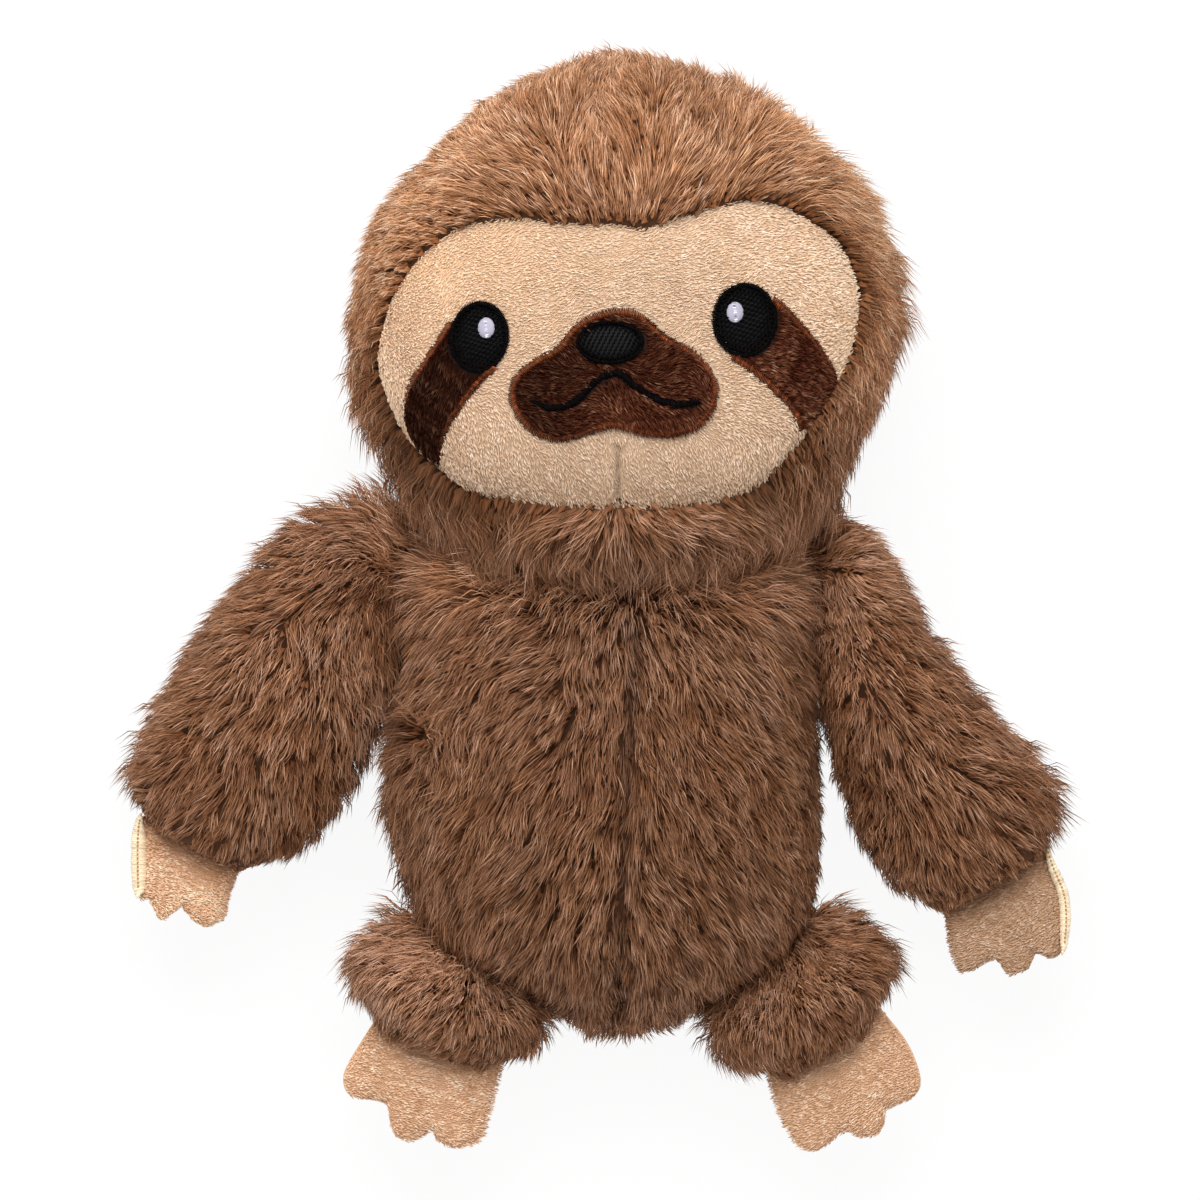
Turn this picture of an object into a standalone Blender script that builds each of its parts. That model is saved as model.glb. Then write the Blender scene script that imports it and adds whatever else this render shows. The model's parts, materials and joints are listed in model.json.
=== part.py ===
"""Plush sloth with long limbs, lying on its back: sewn fur shells, short-pile face and paws, stuffing.

Metres, +Z up. The face looks up, +Y runs from the tail end to the crown, and -X is the toy's own
right side. The origin lies on the flat of the back, on the surface that the toy rests on.
"""

import math

import bmesh
import bpy
from mathutils import Matrix, Vector
from mathutils.bvhtree import BVHTree

# Sewing, in metres
SEAM_GAP = 0.0003
STUFFING_GAP = 0.0009
FUR_THICKNESS = 0.0067
FLOOR_CUT = 0.0005
OVERRUN = 0.5
SHARP_EDGE = math.radians(40)

# Torso
TORSO_LENGTH = 0.166
TORSO_HALF_WIDTH = 0.0635
TORSO_DEPTH = 0.0825
SIDE_SEAM_HEIGHT = 0.040
FRONT_SEAM_OFFSET = 0.007
TORSO_START_SHARE = -0.494
NECK_CUT_SHARE = 0.916
TORSO_TAIL_HEIGHT_SHARE = 0.42
TORSO_TOP_HEIGHT_SHARE = 0.40
# Each row: place along the length, half width, low and high side, sideways drift of the half width
TORSO_STATION_SHARES = (
    (0.033, 0.27, 0.22, 0.62, 0.09),
    (0.087, 0.47, 0.10, 0.77, 0.09),
    (0.142, 0.68, 0.04, 0.88, 0.09),
    (0.205, 0.88, 0.00, 0.93, 0.07),
    (0.313, 0.97, 0.00, 0.98, 0.03),
    (0.458, 1.00, 0.00, 1.00, 0.00),
    (0.602, 0.96, 0.00, 0.98, 0.00),
    (0.765, 0.88, 0.00, 0.93, 0.00),
    (0.855, 0.79, 0.04, 0.81, 0.00),
    (0.928, 0.57, 0.10, 0.69, 0.00),
)

# Neck
NECK_LENGTH = 0.0054
NECK_HALF_WIDTH = 0.034
NECK_LOW = 0.010
NECK_HIGH = 0.054
NOD_ABOVE_NECK = 0.002

# Head
HEAD_LENGTH = 0.146
HEAD_HALF_WIDTH = 0.0797
HEAD_DEPTH = 0.1145
HEAD_OFFSET = 0.005
CHIN_DROP = 0.013
CHIN_HEIGHT = 0.072
CHIN_POLE_HEIGHT_SHARE = 0.66
CROWN_POLE_HEIGHT_SHARE = 0.51
HEAD_STATION_SHARES = (
    (0.029, 0.41, 0.44, 0.88, 0.00),
    (0.106, 0.71, 0.05, 0.93, 0.00),
    (0.222, 0.87, 0.00, 0.98, 0.00),
    (0.358, 0.975, 0.00, 1.00, 0.00),
    (0.513, 1.00, 0.00, 1.00, 0.00),
    (0.667, 0.91, 0.00, 0.98, 0.00),
    (0.803, 0.70, 0.05, 0.93, 0.00),
    (0.909, 0.49, 0.16, 0.84, 0.00),
    (0.977, 0.20, 0.33, 0.68, 0.00),
)

# Face, as shares of its half width and half height about its middle
FACE_HALF_WIDTH = 0.0714
FACE_HALF_HEIGHT = 0.0465
FACE_FROM_NECK = 0.0455
FACE_OFFSET = 0.0036
FACE_THICKNESS = 0.0025
DART_WIDTH = 0.0006
DART_LENGTH = 0.018
FACE_OUTLINE_SHARES = (
    (0.09, 0.83), (-0.05, 0.88), (-0.355, 0.90), (-0.52, 0.88), (-0.66, 0.82), (-0.77, 0.70),
    (-0.87, 0.55), (-0.94, 0.38), (-1.00, 0.12), (-0.99, -0.15), (-0.94, -0.33), (-0.815, -0.61),
    (-0.66, -0.84), (-0.46, -0.92), (-0.19, -0.98), (0.00, -0.96), (0.17, -0.97), (0.38, -0.89),
    (0.59, -0.735), (0.74, -0.50), (0.90, -0.17), (0.99, 0.17), (1.00, 0.38), (0.98, 0.55),
    (0.91, 0.74), (0.80, 0.89), (0.66, 0.98), (0.52, 1.02), (0.37, 0.98), (0.22, 0.89), (0.09, 0.83),
)

# Brown patches and satin stitching on the face
PATCH_THICKNESS = 0.0012
SATIN_HEIGHT = 0.0019
SATIN_WIDTH = 0.0022
THREAD_HEIGHT = 0.0010
THREAD_WIDTH = 0.0014
GLINT_HEIGHT = 0.0008
MUZZLE_HALF_WIDTH = 0.0315
MUZZLE_HALF_HEIGHT = 0.0198
MUZZLE_PLACE_SHARE = (-0.02, -0.155)
MUZZLE_OUTLINE_SHARES = (
    (0.05, 1.00), (-0.19, 0.91), (-0.38, 0.73), (-0.53, 0.42), (-0.76, 0.20), (-0.94, -0.05),
    (-0.98, -0.38), (-0.85, -0.76), (-0.67, -0.95), (-0.48, -1.00), (-0.25, -0.91), (-0.04, -0.81),
    (0.14, -0.83), (0.35, -0.92), (0.57, -0.92), (0.82, -0.80), (0.98, -0.50), (1.02, -0.20),
    (0.96, 0.05), (0.79, 0.35), (0.57, 0.55), (0.41, 0.76), (0.26, 0.95),
)
MOUTH_PATH_SHARES = (
    (-0.77, -0.38), (-0.62, -0.47), (-0.48, -0.47), (-0.34, -0.38), (-0.22, -0.18), (-0.09, -0.02),
    (0.05, 0.04), (0.19, -0.11), (0.35, -0.30), (0.54, -0.42), (0.70, -0.42), (0.82, -0.37),
)
NOSE_HALF_WIDTH = 0.0096
NOSE_HALF_HEIGHT = 0.0055
NOSE_PLACE_SHARE = (-0.02, 0.51)

# Eyes: place on the face, half sizes, lean of the upright axis, place of the glint on the eye
EYE_HALF_WIDTH = 0.0092
EYE_HALF_HEIGHT = 0.0108
GLINT_HALF_WIDTH = 0.0025
GLINT_HALF_HEIGHT = 0.0032
EYE_PLACE_SHARES = {"right": (-0.58, 0.116), "left": (0.54, 0.226)}
EYE_LEAN = {"right": math.radians(-8), "left": math.radians(-3)}
GLINT_PLACE_SHARES = {"right": (0.24, 0.25), "left": (-0.325, 0.20)}
PATCH_UPPER_SHARES = {
    "right": (
        (-0.70, 0.19), (-0.77, 0.05), (-0.83, -0.09), (-0.875, -0.21), (-0.91, -0.34), (-0.97, -0.47),
    ),
    "left": ((0.67, 0.345), (0.75, 0.22), (0.82, 0.10), (0.88, -0.035), (0.92, -0.14)),
}
PATCH_LOWER_SHARES = {
    "right": (
        (-0.53, -0.09), (-0.575, -0.18), (-0.635, -0.27), (-0.695, -0.37), (-0.73, -0.51), (-0.75, -0.68),
    ),
    "left": ((0.485, -0.01), (0.55, -0.09), (0.63, -0.185), (0.70, -0.29), (0.755, -0.42)),
}

# Limbs: outer and inner edge as shares of the length, outwards and down from the seam, and thickness
ROOT_HALF_THICKNESS = 0.0022
ROOT_RING_SHARE = 0.36
CUFF_OVERRUN = 0.008
CORE_START_SHARE = 0.5
CORE_END_SHARE = 0.45
ARM_LENGTH = 0.110
ARM_THICKNESS = 0.042
ARM_SEAM_HALF = 0.0185
ARM_ROOT_SHARES = {"right": (-0.89, 0.779), "left": (0.93, 0.788)}
ARM_SEAM_LEAN = {"right": math.radians(-17.8), "left": math.radians(10.0)}
ARM_STATION_SHARES = {
    "right": (
        ((0.16, -0.22), (0.03, 0.19), 0.42),
        ((0.35, -0.10), (0.02, 0.28), 0.80),
        ((0.47, 0.15), (0.02, 0.41), 1.00),
        ((0.55, 0.43), (0.04, 0.56), 1.00),
        ((0.58, 0.67), (0.10, 0.73), 0.92),
        ((0.55, 0.78), (0.20, 0.84), 0.75),
    ),
    "left": (
        ((0.13, -0.21), (0.03, 0.19), 0.42),
        ((0.25, -0.06), (0.04, 0.31), 0.78),
        ((0.34, 0.20), (0.05, 0.47), 1.00),
        ((0.47, 0.44), (0.07, 0.65), 1.00),
        ((0.57, 0.63), (0.13, 0.80), 0.92),
        ((0.58, 0.79), (0.23, 0.92), 0.75),
    ),
}
LEG_LENGTH = 0.057
LEG_THICKNESS = 0.040
LEG_SEAM_HALF = 0.020
LEG_SEAM_HEIGHT = 0.038
LEG_ROOT_SHARES = {"right": (-0.62, 0.142), "left": (0.815, 0.142)}
LEG_SEAM_LEAN = {"right": math.radians(58.4), "left": math.radians(-51.4)}
LEG_STATION_SHARES = {
    "right": (
        ((0.15, -0.48), (0.10, 0.51), 0.50),
        ((0.35, -0.48), (0.23, 0.53), 0.95),
        ((0.52, -0.31), (0.36, 0.46), 0.85),
    ),
    "left": (
        ((0.17, -0.41), (0.09, 0.52), 0.50),
        ((0.39, -0.39), (0.24, 0.54), 0.95),
        ((0.53, -0.24), (0.44, 0.46), 0.85),
    ),
}

# Paws: outline along the cuff and towards the claws, True where two claws meet in a notch
PAW_HALF_THICKNESS = 0.0028
PAW_EDGE_ROUNDING = 0.0021
PAW_CLEARANCE = 0.0008
PAD_HALF_THICKNESS = 0.0014
PAD_HALF_SHARE = (0.55, 0.30)
PAD_PLACE_SHARE = 0.40
HAND_HALF_WIDTH = 0.021
HAND_LENGTH = 0.030
FOOT_HALF_WIDTH = 0.024
FOOT_LENGTH = 0.034
HAND_OUTLINE_SHARES = {
    "right": (
        (-1.00, 0.00, False), (-1.00, 0.26, False), (-1.06, 0.67, False), (-0.97, 0.87, False),
        (-0.79, 0.80, True), (-0.70, 0.91, False), (-0.55, 0.94, False), (-0.31, 0.76, True),
        (-0.07, 0.82, False), (0.17, 0.80, False), (0.43, 0.60, False), (0.56, 0.25, False),
        (0.68, 0.00, False),
    ),
    "left": (
        (-0.95, 0.00, False), (-1.04, 0.42, False), (-1.10, 0.69, False), (-1.00, 1.00, False),
        (-0.78, 1.05, False), (-0.57, 0.90, True), (-0.38, 1.02, False), (-0.11, 0.98, False),
        (0.13, 0.76, True), (0.40, 0.74, False), (0.74, 0.64, False), (0.87, 0.34, False),
        (0.94, 0.00, False),
    ),
}
FOOT_OUTLINE_SHARES = {
    "right": (
        (-0.84, 0.00, False), (-0.99, 0.42, False), (-0.98, 0.65, False), (-0.78, 0.78, False),
        (-0.40, 0.73, True), (-0.24, 0.90, False), (0.01, 1.00, False), (0.20, 0.93, False),
        (0.33, 0.80, True), (0.61, 0.90, False), (0.85, 0.85, False), (1.00, 0.72, False),
        (0.98, 0.44, False), (0.88, 0.00, False),
    ),
    "left": (
        (-0.85, 0.00, False), (-0.90, 0.39, False), (-0.81, 0.75, False), (-0.60, 0.87, False),
        (-0.26, 0.82, True), (-0.04, 0.97, False), (0.18, 0.95, False), (0.40, 0.79, True),
        (0.75, 0.80, False), (0.94, 0.68, False), (0.94, 0.45, False), (0.82, 0.00, False),
    ),
}

# Counts and form factors
BODY_SIDES = 12
LIMB_SIDES = 10
TORSO_CORE_SIDES = 8
LIMB_CORE_SIDES = 6
PAD_SIDES = 8
DISC_SIDES = 32
OVAL_POINTS = 16
CURVE_STEPS = 2
SEAT_SAMPLES = 9
BODY_SQUARENESS = 2.5
LIMB_SQUARENESS = 2.2
UP = Vector((0, 0, 1))
SIDES = {"right": 1, "left": -1}


def clear_scene():
    """Remove every object that the file opens with."""
    for item in list(bpy.data.objects):
        bpy.data.objects.remove(item, do_unlink=True)


def new_collection(name):
    """A collection under the scene's own one."""
    group = bpy.data.collections.new(name)
    bpy.context.scene.collection.children.link(group)
    return group


def linear(channel):
    """One sRGB channel, 0 to 255, as linear light."""
    value = channel / 255
    if value <= 0.04045:
        return value / 12.92
    return ((value + 0.055) / 1.055) ** 2.4


def cloth(name, colour, roughness):
    """A matt or satin textile, coloured by its sRGB bytes."""
    material = bpy.data.materials.new(name)
    material.use_nodes = True
    shader = material.node_tree.nodes["Principled BSDF"]
    shader.inputs["Base Color"].default_value = (*(linear(channel) for channel in colour), 1)
    shader.inputs["Roughness"].default_value = roughness
    shader.inputs["Metallic"].default_value = 0
    return material


clear_scene()
parts = new_collection("plush_sloth")
cutters = new_collection("cutters")
FINISHES = {
    "fur": cloth("long_pile_fur", (121, 83, 58), 0.9),
    "head_fur": cloth("long_pile_fur_crown", (150, 104, 74), 0.9),
    "beige": cloth("short_pile_beige", (222, 184, 152), 0.85),
    "paw": cloth("short_pile_paw", (200, 156, 124), 0.85),
    "brown": cloth("short_pile_brown", (60, 33, 24), 0.85),
    "rust": cloth("satin_stitch_rust", (110, 50, 25), 0.5),
    "black": cloth("satin_stitch_black", (21, 18, 19), 0.4),
    "white": cloth("satin_stitch_white", (206, 199, 211), 0.5),
    "stuffing": cloth("polyester_stuffing", (236, 232, 224), 0.95),
}


def as_cutter(item):
    """Mark an object as a guide that is not part of the toy."""
    cutters.objects.link(item)
    item.hide_render = True
    item.display_type = "WIRE"
    return item


def cut(piece, cutter, operation, solver):
    """Take the cutter out of the piece, or with INTERSECT keep only what lies inside it."""
    step = piece.modifiers.new(cutter.name, "BOOLEAN")
    step.operation = operation
    step.solver = solver
    step.object = cutter


def finished(name, mesh, finish, keeps=(), cuts=(), solver="EXACT"):
    """A named piece of the toy with its own material, bounded by keeps and cut by cuts."""
    piece = bpy.data.objects.new(name, mesh)
    parts.objects.link(piece)
    mesh.materials.clear()
    mesh.materials.append(FINISHES[finish])
    for cutter in keeps:
        cut(piece, cutter, "INTERSECT", solver)
    for cutter in cuts:
        cut(piece, cutter, "DIFFERENCE", solver)
    return piece


def beyond(name, point, direction):
    """A cutter that holds everything past the plane through the point that faces the direction."""
    mesh = bpy.data.meshes.new(name)
    shape = bmesh.new()
    bmesh.ops.create_cube(shape, size=OVERRUN)
    shape.to_mesh(mesh)
    shape.free()
    box = as_cutter(bpy.data.objects.new(name, mesh))
    box.location = Vector(point) + direction.normalized() * (OVERRUN / 2)
    box.rotation_euler = direction.to_track_quat("Z", "Y").to_euler()
    return box


def block(name, low, high):
    """A cutter box between two corners."""
    low, high = Vector(low), Vector(high)
    mesh = bpy.data.meshes.new(name)
    shape = bmesh.new()
    bmesh.ops.create_cube(shape, size=1, matrix=Matrix.Diagonal((*(high - low), 1)))
    shape.to_mesh(mesh)
    shape.free()
    box = as_cutter(bpy.data.objects.new(name, mesh))
    box.location = (low + high) / 2
    return box


def signed_power(value, power):
    """The power of a value's size, with the value's sign."""
    return math.copysign(abs(value) ** power, value)


def form_mesh(name, rings, start, end, sides, squareness):
    """A closed cage from a sphere: its rings go to the given ones, its poles to start and end.

    A ring is a centre, a half width vector and a half height vector. The cage is swollen by as
    much as one level of subdivision draws it in.
    """
    swell = 1 / math.cos(math.pi / sides)
    levels = len(rings) + 1
    shape = bmesh.new()
    bmesh.ops.create_uvsphere(shape, u_segments=sides, v_segments=levels, radius=1)
    for corner in shape.verts:
        level = round(math.acos(max(-1, min(1, corner.co.z))) / math.pi * levels)
        turn = math.atan2(corner.co.y, corner.co.x)
        if level == 0:
            corner.co = start
        elif level == levels:
            corner.co = end
        else:
            centre, across, up = rings[level - 1]
            wide = signed_power(math.cos(turn), 2 / squareness) * swell
            high = signed_power(math.sin(turn), 2 / squareness) * swell
            corner.co = centre + across * wide + up * high
    if shape.calc_volume(signed=True) < 0:
        bmesh.ops.reverse_faces(shape, faces=shape.faces)
    mesh = bpy.data.meshes.new(name)
    shape.to_mesh(mesh)
    shape.free()
    mesh.shade_smooth()
    return mesh


def rounded(item):
    """Round a cage with one level of subdivision, ahead of any cut."""
    rounding = item.modifiers.new("rounding", "SUBSURF")
    rounding.levels = 1
    rounding.render_levels = 1
    item.modifiers.move(len(item.modifiers) - 1, 0)
    return item


def evaluated_mesh(item):
    """The mesh of an object with its modifiers applied."""
    return bpy.data.meshes.new_from_object(item.evaluated_get(bpy.context.evaluated_depsgraph_get()))


def body_rings(shares, length, half_width, depth, start_y, middle_x, inset):
    """Rings across the Y axis for the torso and head, drawn in all round by the inset."""
    wide = (half_width - inset) / half_width
    deep = (depth / 2 - inset) / (depth / 2)
    long = (length / 2 - inset) / (length / 2)
    middle_y = start_y + length / 2
    middle_z = depth / 2 - FLOOR_CUT
    rings = []
    for along_share, half_share, low_share, high_share, drift_share in shares:
        y = middle_y + (start_y + length * along_share - middle_y) * long
        low = middle_z + (depth * low_share - FLOOR_CUT - middle_z) * deep
        high = middle_z + (depth * high_share - FLOOR_CUT - middle_z) * deep
        centre = Vector((middle_x + half_width * drift_share, y, (low + high) / 2))
        rings.append((centre, Vector((half_width * half_share * wide, 0, 0)), UP * ((high - low) / 2)))
    return rings


def body_form(name, shares, length, half_width, depth, start_y, middle_x, pole_shares, inset,
              sides=BODY_SIDES):
    """The cage of the torso or head; pole_shares give the heights of its first and last pole."""
    rings = body_rings(shares, length, half_width, depth, start_y, middle_x, inset)
    middle_z = depth / 2 - FLOOR_CUT
    deep = (depth / 2 - inset) / (depth / 2)
    poles = []
    ends = (start_y + inset, start_y + length - inset)
    for pole_share, y, ring in zip(pole_shares, ends, (rings[0], rings[-1])):
        z = middle_z + (depth * pole_share - FLOOR_CUT - middle_z) * deep
        poles.append(Vector((ring[0].x, y, z)))
    return form_mesh(name, rings, poles[0], poles[1], sides, BODY_SQUARENESS)


TORSO_START = TORSO_LENGTH * TORSO_START_SHARE
NECK_FACE = TORSO_START + TORSO_LENGTH * NECK_CUT_SHARE
HEAD_FACE = NECK_FACE + SEAM_GAP + NECK_LENGTH + SEAM_GAP
HEAD_START = HEAD_FACE - CHIN_DROP
FACE_MIDDLE = Vector((FACE_OFFSET, HEAD_FACE + FACE_FROM_NECK, 0))
HEAD_MIDDLE_HEIGHT = HEAD_DEPTH / 2 - FLOOR_CUT


def torso_form(name, inset=0):
    """The torso's cage, drawn in by the inset; inside it needs fewer sides."""
    poles = (TORSO_TAIL_HEIGHT_SHARE, TORSO_TOP_HEIGHT_SHARE)
    sides = TORSO_CORE_SIDES if inset else BODY_SIDES
    return body_form(name, TORSO_STATION_SHARES, TORSO_LENGTH, TORSO_HALF_WIDTH, TORSO_DEPTH,
                     TORSO_START, 0, poles, inset, sides)


def head_form(name, inset=0):
    """The head's cage, drawn in by the inset."""
    poles = (CHIN_POLE_HEIGHT_SHARE, CROWN_POLE_HEIGHT_SHARE)
    return body_form(name, HEAD_STATION_SHARES, HEAD_LENGTH, HEAD_HALF_WIDTH, HEAD_DEPTH,
                     HEAD_START, HEAD_OFFSET, poles, inset)


def form_cutter(name, mesh):
    """A rounded cage used as a cutter."""
    return rounded(as_cutter(bpy.data.objects.new(name, mesh)))


def make_torso():
    """Front left and right panels, one back panel and the stuffing."""
    floor = beyond("floor", (0, 0, 0), -UP)
    neck = beyond("neck_plane", (0, NECK_FACE, 0), Vector((0, 1, 0)))
    core = form_cutter("torso_core", torso_form("torso_core", FUR_THICKNESS))
    below = beyond("below_side_seam", (0, 0, SIDE_SEAM_HEIGHT + SEAM_GAP / 2), -UP)
    above = beyond("above_side_seam", (0, 0, SIDE_SEAM_HEIGHT - SEAM_GAP / 2), UP)
    left_side = beyond("left_of_front_seam", (FRONT_SEAM_OFFSET - SEAM_GAP / 2, 0, 0), Vector((1, 0, 0)))
    right_side = beyond("right_of_front_seam", (FRONT_SEAM_OFFSET + SEAM_GAP / 2, 0, 0), Vector((-1, 0, 0)))
    panels = {
        "torso_front_right": (below, left_side, neck, core),
        "torso_front_left": (below, right_side, neck, core),
        "torso_back": (above, floor, neck, core),
    }
    for name, cuts in panels.items():
        rounded(finished(name, torso_form(name), "fur", cuts=cuts))
    filling = torso_form("torso_fill", FUR_THICKNESS + STUFFING_GAP)
    rounded(finished("torso_fill", filling, "stuffing", cuts=(neck,)))


def make_neck():
    """A short oval plug of stuffing between torso and head."""
    shape = bmesh.new()
    half_height = (NECK_HIGH - NECK_LOW) / 2
    size = Matrix.Diagonal((NECK_HALF_WIDTH, half_height, NECK_LENGTH, 1))
    turn = Matrix.Rotation(math.pi / 2, 4, "X")
    bmesh.ops.create_cone(shape, cap_ends=True, segments=DISC_SIDES, radius1=1, radius2=1, depth=1,
                          matrix=turn @ size)
    mesh = bpy.data.meshes.new("neck_fill")
    shape.to_mesh(mesh)
    shape.free()
    mesh.shade_smooth()
    mesh.set_sharp_from_angle(angle=SHARP_EDGE)
    plug = finished("neck_fill", mesh, "stuffing")
    plug.location = (0, NECK_FACE + SEAM_GAP + NECK_LENGTH / 2, NECK_LOW + half_height)


def smooth_run(points, closed=False):
    """Points along a Catmull-Rom curve through the given ones, CURVE_STEPS to each span."""
    points = [Vector(point) for point in points]
    count = len(points)
    run = []
    for span in range(count if closed else count - 1):
        start, end = points[span], points[(span + 1) % count]
        before = points[span - 1] if closed or span else start * 2 - end
        after = points[(span + 2) % count] if closed or span + 2 < count else end * 2 - start
        for step in range(CURVE_STEPS):
            t = step / CURVE_STEPS
            bend = before * 2 - start * 5 + end * 4 - after
            twist = start * 3 - before - end * 3 + after
            run.append((start * 2 + (end - before) * t + bend * t ** 2 + twist * t ** 3) / 2)
    if not closed:
        run.append(points[-1])
    return run


def at_shares(shares, middle, half_width, half_height):
    """Points given as shares of a half width and half height about a middle."""
    return [Vector((middle.x + half_width * across, middle.y + half_height * up)) for across, up in shares]


def oval(middle, half_width, half_height, lean=0):
    """Points of an ellipse whose upright axis leans by an angle."""
    points = []
    for step in range(OVAL_POINTS):
        turn = 2 * math.pi * step / OVAL_POINTS
        point = Vector((half_width * math.cos(turn), half_height * math.sin(turn)))
        point.rotate(Matrix.Rotation(lean, 2))
        points.append(point + middle.to_2d())
    return points


def moved_outline(points, amount):
    """A closed outline moved outwards by an amount, inwards where it is negative."""
    count = len(points)
    area = sum(points[k - 1].x * points[k].y - points[k].x * points[k - 1].y for k in range(count))
    moved = []
    for k in range(count):
        ahead = (points[(k + 1) % count] - points[k]).normalized()
        behind = (points[k] - points[k - 1]).normalized()
        along = (ahead + behind).normalized()
        normal = Vector((along.y, -along.x)) * math.copysign(1, area)
        moved.append(points[k] + normal * (amount / max(along.dot(ahead), 0.5)))
    return moved


def ribbon(path, width, spare=0):
    """A band of a width along an open path, run on by some spare length at both ends."""
    path = [point.copy() for point in path]
    path[0] += (path[0] - path[1]).normalized() * spare
    path[-1] += (path[-1] - path[-2]).normalized() * spare
    near, far = [], []
    for k, point in enumerate(path):
        along = (path[min(k + 1, len(path) - 1)] - path[max(k - 1, 0)]).normalized()
        normal = Vector((along.y, -along.x)) * (width / 2)
        near.append(point + normal)
        far.append(point - normal)
    return near + far[::-1]


def outline_mesh(name, outlines, low, high):
    """A flat outline, with any further outlines as holes, extruded from one height to another."""
    curve = bpy.data.curves.new(name, "CURVE")
    curve.dimensions = "2D"
    curve.fill_mode = "BOTH"
    curve.extrude = (high - low) / 2
    for outline in outlines:
        spline = curve.splines.new("POLY")
        spline.points.add(len(outline) - 1)
        for corner, place in zip(spline.points, outline):
            corner.co = (place.x, place.y, 0, 1)
        spline.use_cyclic_u = True
    return curve_to_mesh(name, curve, (low + high) / 2)


def curve_to_mesh(name, curve, height):
    """The closed mesh of a flat curve, lifted to a height, with its loose caps joined on."""
    drawn = bpy.data.objects.new(name, curve)
    cutters.objects.link(drawn)
    mesh = evaluated_mesh(drawn)
    bpy.data.objects.remove(drawn, do_unlink=True)
    bpy.data.curves.remove(curve)
    shape = bmesh.new()
    shape.from_mesh(mesh)
    bmesh.ops.remove_doubles(shape, verts=shape.verts, dist=SEAM_GAP / 10)
    bmesh.ops.translate(shape, verts=shape.verts, vec=UP * height)
    bmesh.ops.recalc_face_normals(shape, faces=shape.faces)
    shape.to_mesh(mesh)
    shape.free()
    mesh.name = name
    return mesh


def face_layers():
    """Insets of the face's layers below the fur surface, each a gap above the one under it."""
    face_low = FUR_THICKNESS
    face_top = face_low - FACE_THICKNESS
    patch_low = face_top - SEAM_GAP
    patch_top = patch_low - PATCH_THICKNESS
    satin_top = patch_low - SATIN_HEIGHT
    thread_low = patch_top - SEAM_GAP
    thread_top = thread_low - THREAD_HEIGHT
    glint_low = satin_top - SEAM_GAP
    glint_top = glint_low - GLINT_HEIGHT
    levels = {
        "face_low": face_low, "face_top": face_top, "patch_low": patch_low, "patch_top": patch_top,
        "satin_top": satin_top, "thread_low": thread_low, "thread_top": thread_top,
        "glint_low": glint_low, "glint_top": glint_top,
    }
    return {name: form_cutter(name, head_form(name, inset)) for name, inset in levels.items()}


def make_head():
    """Two hood halves of fur round a short-pile face, over the stuffing."""
    layers = face_layers()
    face_points = at_shares(FACE_OUTLINE_SHARES, FACE_MIDDLE, FACE_HALF_WIDTH, FACE_HALF_HEIGHT)
    face_line = smooth_run(face_points)[:-1]
    opening_line = moved_outline(face_line, SEAM_GAP)
    low, high = HEAD_MIDDLE_HEIGHT, HEAD_DEPTH * 2
    opening = guide("face_opening", opening_line)
    inside = guide("face_limit", face_line)
    neck = block("head_neck_cut", (-OVERRUN, -OVERRUN, -OVERRUN), (OVERRUN, HEAD_FACE, CHIN_HEIGHT))
    floor = beyond("head_floor", (0, 0, 0), -UP)
    left_side = beyond("left_of_head_seam", (HEAD_OFFSET - SEAM_GAP / 2, 0, 0), Vector((1, 0, 0)))
    right_side = beyond("right_of_head_seam", (HEAD_OFFSET + SEAM_GAP / 2, 0, 0), Vector((-1, 0, 0)))
    for name, other_side in (("hood_right", left_side), ("hood_left", right_side)):
        cuts = (other_side, neck, floor, opening, layers["face_low"])
        rounded(finished(name, head_form(name), "head_fur", cuts=cuts))
    filling = head_form("head_fill", FUR_THICKNESS + STUFFING_GAP)
    rounded(finished("head_fill", filling, "stuffing", cuts=(neck,)))
    chin = FACE_MIDDLE.y - FACE_HALF_HEIGHT
    dart = block("chin_dart", (FACE_OFFSET - DART_WIDTH / 2, chin - DART_LENGTH, low),
                 (FACE_OFFSET + DART_WIDTH / 2, chin + DART_LENGTH, high))
    panel = outline_mesh("face_panel", [face_line], low, high)
    finished("face_panel", panel, "beige", (layers["face_top"],), (layers["face_low"], dart), "MANIFOLD")
    make_muzzle(layers)
    for side in SIDES:
        make_eye(side, layers, inside)


def face_piece(name, outlines, finish, low_layer, top_layer, keeps=(), cuts=()):
    """A piece of an outline that lies on the face between two of its layers.

    The layers' facets nearly touch along such thin pieces, which only the MANIFOLD solver cuts clean.
    """
    mesh = outline_mesh(name, outlines, HEAD_MIDDLE_HEIGHT, HEAD_DEPTH * 2)
    return finished(name, mesh, finish, (*keeps, top_layer), (low_layer, *cuts), "MANIFOLD")


def guide(name, outline):
    """An upright cutter of an outline that reaches through the front of the head."""
    mesh = outline_mesh(name, [outline], HEAD_MIDDLE_HEIGHT - FUR_THICKNESS, HEAD_DEPTH * 3)
    return as_cutter(bpy.data.objects.new(name, mesh))


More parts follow.
